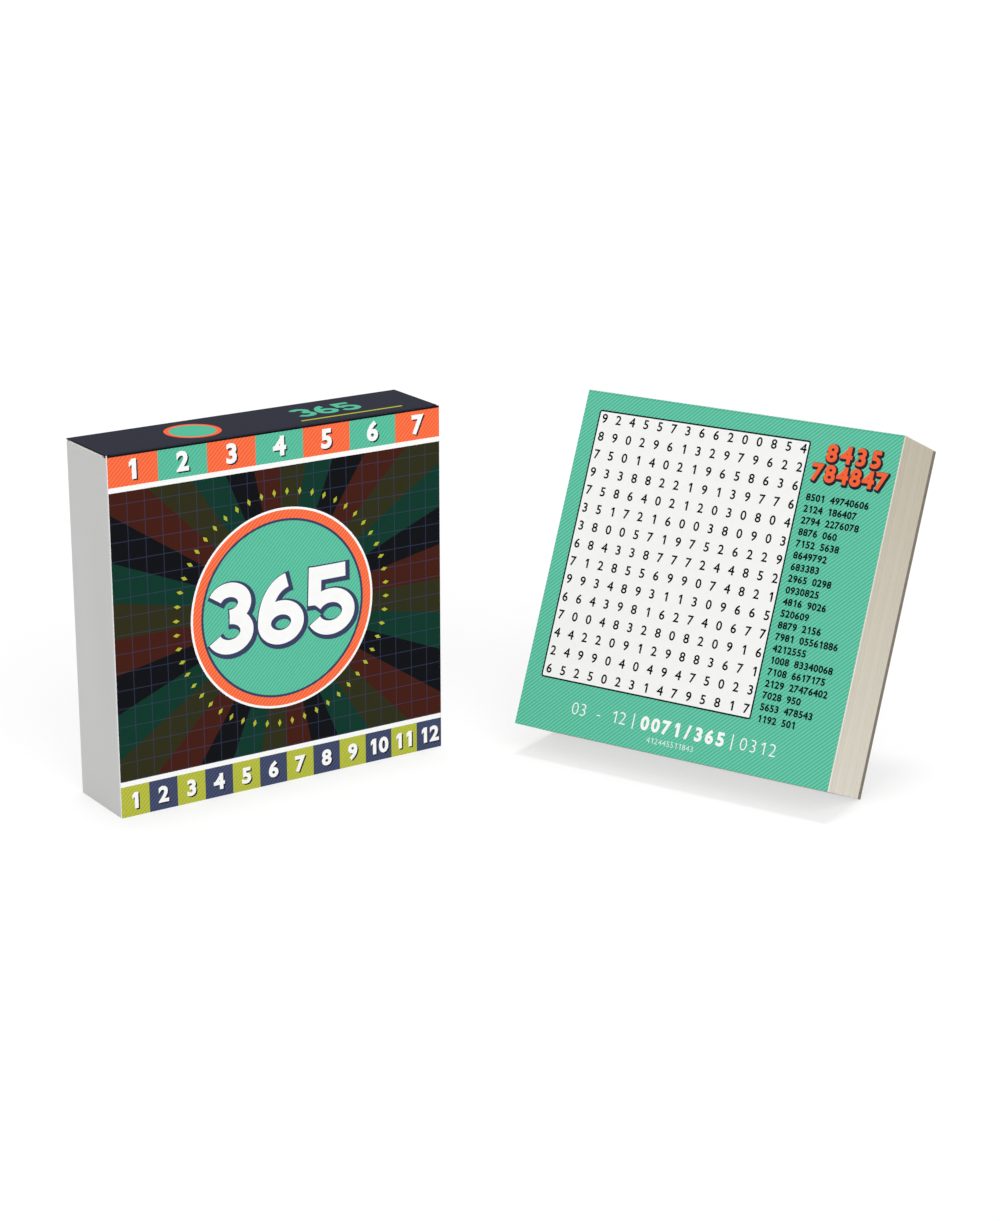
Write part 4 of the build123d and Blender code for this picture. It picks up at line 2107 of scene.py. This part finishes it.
    def _print_front(self, inks: dict[Ink, bpy.types.Material]) -> None:
        """Prints the year's days on the disc, and a numeral on each day and month tile.

        Args:
            inks: The ink materials.
        """
        cover = self.cover
        place = (cover.year_height, self.size[0] / 2 + cover.year_shift, cover.year_base)
        shadow = DISPLAY.number(YEAR_DAYS, *place, cover.year_outline)
        shadow.points += [cover.year_drop, -cover.year_drop, 0.0]
        year = DISPLAY.number(YEAR_DAYS, *place)
        groups = [("year_shadow", shadow, 0, Ink.NAVY), ("year_numerals", year, 1, Ink.WHITE)]
        days = ("day", cover.day_tiles, self.size[2] - cover.band_height / 2, cover.day_height)
        months = ("month", cover.month_tiles, cover.band_height / 2, cover.month_height)
        for title, *row in (days, months):
            groups.append((f"{title}_shadow", self._tile_numbers(*row, cover.drop), 0, Ink.CHARCOAL))
            groups.append((f"{title}_numerals", self._tile_numbers(*row), 1, Ink.WHITE))
        for title, shape, layer, ink in groups:
            film = LAYERS.lifted(shape, layer).moved(self.front_point)
            self._ride(film.piece(f"front_{title}", inks[ink]), "carton", "printed_carton")

    def _tile_numbers(self, tiles: int, middle: float, height: float, drop: float = 0.0) -> Shape:
        """The numbers one to the tiles' count, each in the middle of its tile.

        Args:
            tiles: How many tiles the row has.
            middle: The height of the row's middle.
            height: The numerals' height.
            drop: How far the numbers are moved down to the right.

        Returns:
            The numbers as one shape.
        """
        step = self.size[0] / tiles
        base = middle - height / 2 - drop
        return Shape.joined([
            HEAVY.line(str(number + 1), height, (number + 0.5) * step + drop, base, Align.MIDDLE)
            for number in range(tiles)
        ])

    def _print_lid(self, inks: dict[Ink, bpy.types.Material]) -> None:
        """Prints the year's days on the closure.

        Args:
            inks: The ink materials.
        """
        lid = self.lid
        base = (self.lid_high[1] - self.lid_low[1] - lid.year_height) / 2 + lid.year_behind
        shape = DISPLAY.number(YEAR_DAYS, lid.year_height, lid.year_middle, base)
        film = LAYERS.lifted(shape, 0).moved(self.lid_point)
        self._ride(film.piece("lid_year_numerals", inks[Ink.MINT]), "closure", "printed_carton")


@dataclass(frozen=True)
class Lamp:
    """A broad soft lamp far away, so that it lights the floor evenly."""

    name: str
    strength: float
    source: tuple[float, float, float]
    softness: float

    def build(self) -> None:
        """Adds the lamp, which spans its softness in degrees and shines from its source's direction."""
        lamp = bpy.data.lights.new(self.name, "SUN")
        lamp.energy = self.strength
        lamp.angle = math.radians(self.softness)
        holder = bpy.data.objects.new(self.name, lamp)
        holder.rotation_mode = "QUATERNION"
        holder.rotation_quaternion = Vector(self.source).to_track_quat("Z", "Y")
        bpy.context.scene.collection.objects.link(holder)


@dataclass
class Studio:
    """A plain white floor, soft light from the front and above, and the photograph's camera."""

    WHITE = (1.0, 1.0, 1.0, 1.0)

    image_height: float = 1221.0
    focal_pixels: float = 2875.0
    camera_place: tuple = (-564.75, -821.88, 382.24)
    camera_heading: float = 33.81
    camera_pitch: float = 17.46
    camera_reach: float = 100.0
    sensor: float = 36.0
    floor_half: float = 9000.0
    floor_drop: float = 0.05
    floor_grey: float = 0.33
    floor_lift: float = 0.65
    ambient: float = 0.46
    lamps: tuple[Lamp, ...] = (
        Lamp("front_light", strength=2.38, source=(-0.199, -0.869, 0.454), softness=60.0),
        Lamp("top_light", strength=1.1, source=(0.06, 0.06, 1.0), softness=11.0),
    )

    def build(self) -> None:
        """Sets up the floor, the light and the camera."""
        bpy.context.scene.view_settings.view_transform = "Standard"
        self._floor()
        self._world()
        for lamp in self.lamps:
            lamp.build()
        self._camera()

    @staticmethod
    def _seen(nodes: Nodes) -> Value:
        """A mask of the rays that show the background itself, straight, in a gloss or through glass.

        Args:
            nodes: The node tree that the nodes go into.

        Returns:
            One for those rays.
        """
        kinds = ("Is Camera Ray", "Is Glossy Ray", "Is Transmission Ray")
        straight, gloss, through = (nodes.add("ShaderNodeLightPath", output=kind) for kind in kinds)
        return straight | gloss | through

    def _floor(self) -> None:
        """A white floor that takes the shadows; what the camera sees of it is lifted to white."""
        shader = Shader("studio_floor")
        grey = (self.floor_grey, self.floor_grey, self.floor_grey, 1.0)
        matte = shader.add("ShaderNodeBsdfDiffuse", None, {"Color": grey})
        lift = shader.add("ShaderNodeEmission", None, {"Strength": self.floor_lift})
        lifted = shader.add("ShaderNodeAddShader", None, {0: matte, 1: lift})
        shown = shader.add("ShaderNodeMixShader", None, {0: self._seen(shader), 1: matte, 2: lifted})
        shader.end("ShaderNodeOutputMaterial", shown)
        corners = np.array([(-1.0, -1.0), (1.0, -1.0), (1.0, 1.0), (-1.0, 1.0)]) * self.floor_half
        points = np.column_stack([corners, np.full(len(corners), -self.floor_drop)])
        Shape(points, np.arange(len(corners))[None, :]).piece("floor", shader.material)

    def _world(self) -> None:
        """White where the background is seen, and an even soft light elsewhere."""
        world = bpy.data.worlds.new("studio")
        nodes = Nodes(world)
        soft = nodes.add("ShaderNodeBackground", None, {"Color": self.WHITE, "Strength": self.ambient})
        plain = nodes.add("ShaderNodeBackground", None, {"Color": self.WHITE, "Strength": 1.0})
        shown = nodes.add("ShaderNodeMixShader", None, {0: self._seen(nodes), 1: soft, 2: plain})
        nodes.end("ShaderNodeOutputWorld", shown)
        bpy.context.scene.world = world

    def _camera(self) -> None:
        """The camera that was fitted to both items' corners in the photograph."""
        camera = bpy.data.cameras.new("photo_camera")
        camera.sensor_width = self.sensor
        camera.lens = self.focal_pixels / self.image_height * self.sensor
        camera.clip_end = self.camera_reach
        holder = bpy.data.objects.new("photo_camera", camera)
        heading, pitch = math.radians(self.camera_heading), math.radians(self.camera_pitch)
        flat = math.cos(pitch)
        view = Vector((math.sin(heading) * flat, math.cos(heading) * flat, -math.sin(pitch)))
        turn = view.to_track_quat("-Z", "Y").to_matrix().to_4x4()
        holder.matrix_world = Matrix.Translation(Vector(self.camera_place) * MM) @ turn
        bpy.context.scene.collection.objects.link(holder)
        bpy.context.scene.camera = holder


def main() -> None:
    """Builds the calendar, its carton and the studio, in that order."""
    logging.basicConfig(level=logging.INFO, format="%(name)s: %(message)s")
    block = BlockFrame.from_model()
    LOG.info("page %.2f x %.2f mm", block.width, block.height)
    used = (Ink.BLACK, Ink.WHITE, Ink.ORANGE, Ink.CHARCOAL, Ink.MINT, Ink.NAVY)
    inks = {ink: InkFilm(ink).material() for ink in used}
    pads = [node for node in frame["record"]["behaviour"]["bodies"]["calendar"] if node.endswith("_pad")]
    PageBlock(block, pads).build()
    leaves = (
        FirstLeaf(block, "today", Ink.MINT, Ink.MINT_LINE, Ink.ORANGE, day=71),
        LooseLeaf(block, "next", Ink.LIME, Ink.LIME_LINE, Ink.ORANGE, day=72),
        LooseLeaf(block, "third", Ink.ORANGE, Ink.ORANGE_LINE, Ink.MINT, day=73),
        BoundLeaf(block, "january", Ink.NAVY, Ink.NAVY_LINE, Ink.ORANGE, day=74, text=Ink.WHITE),
    )
    for leaf in leaves:
        leaf.build(inks)
    EaselBack(block).build()
    Carton().build(inks)
    Studio().build()


if __name__ == "__main__":
    main()
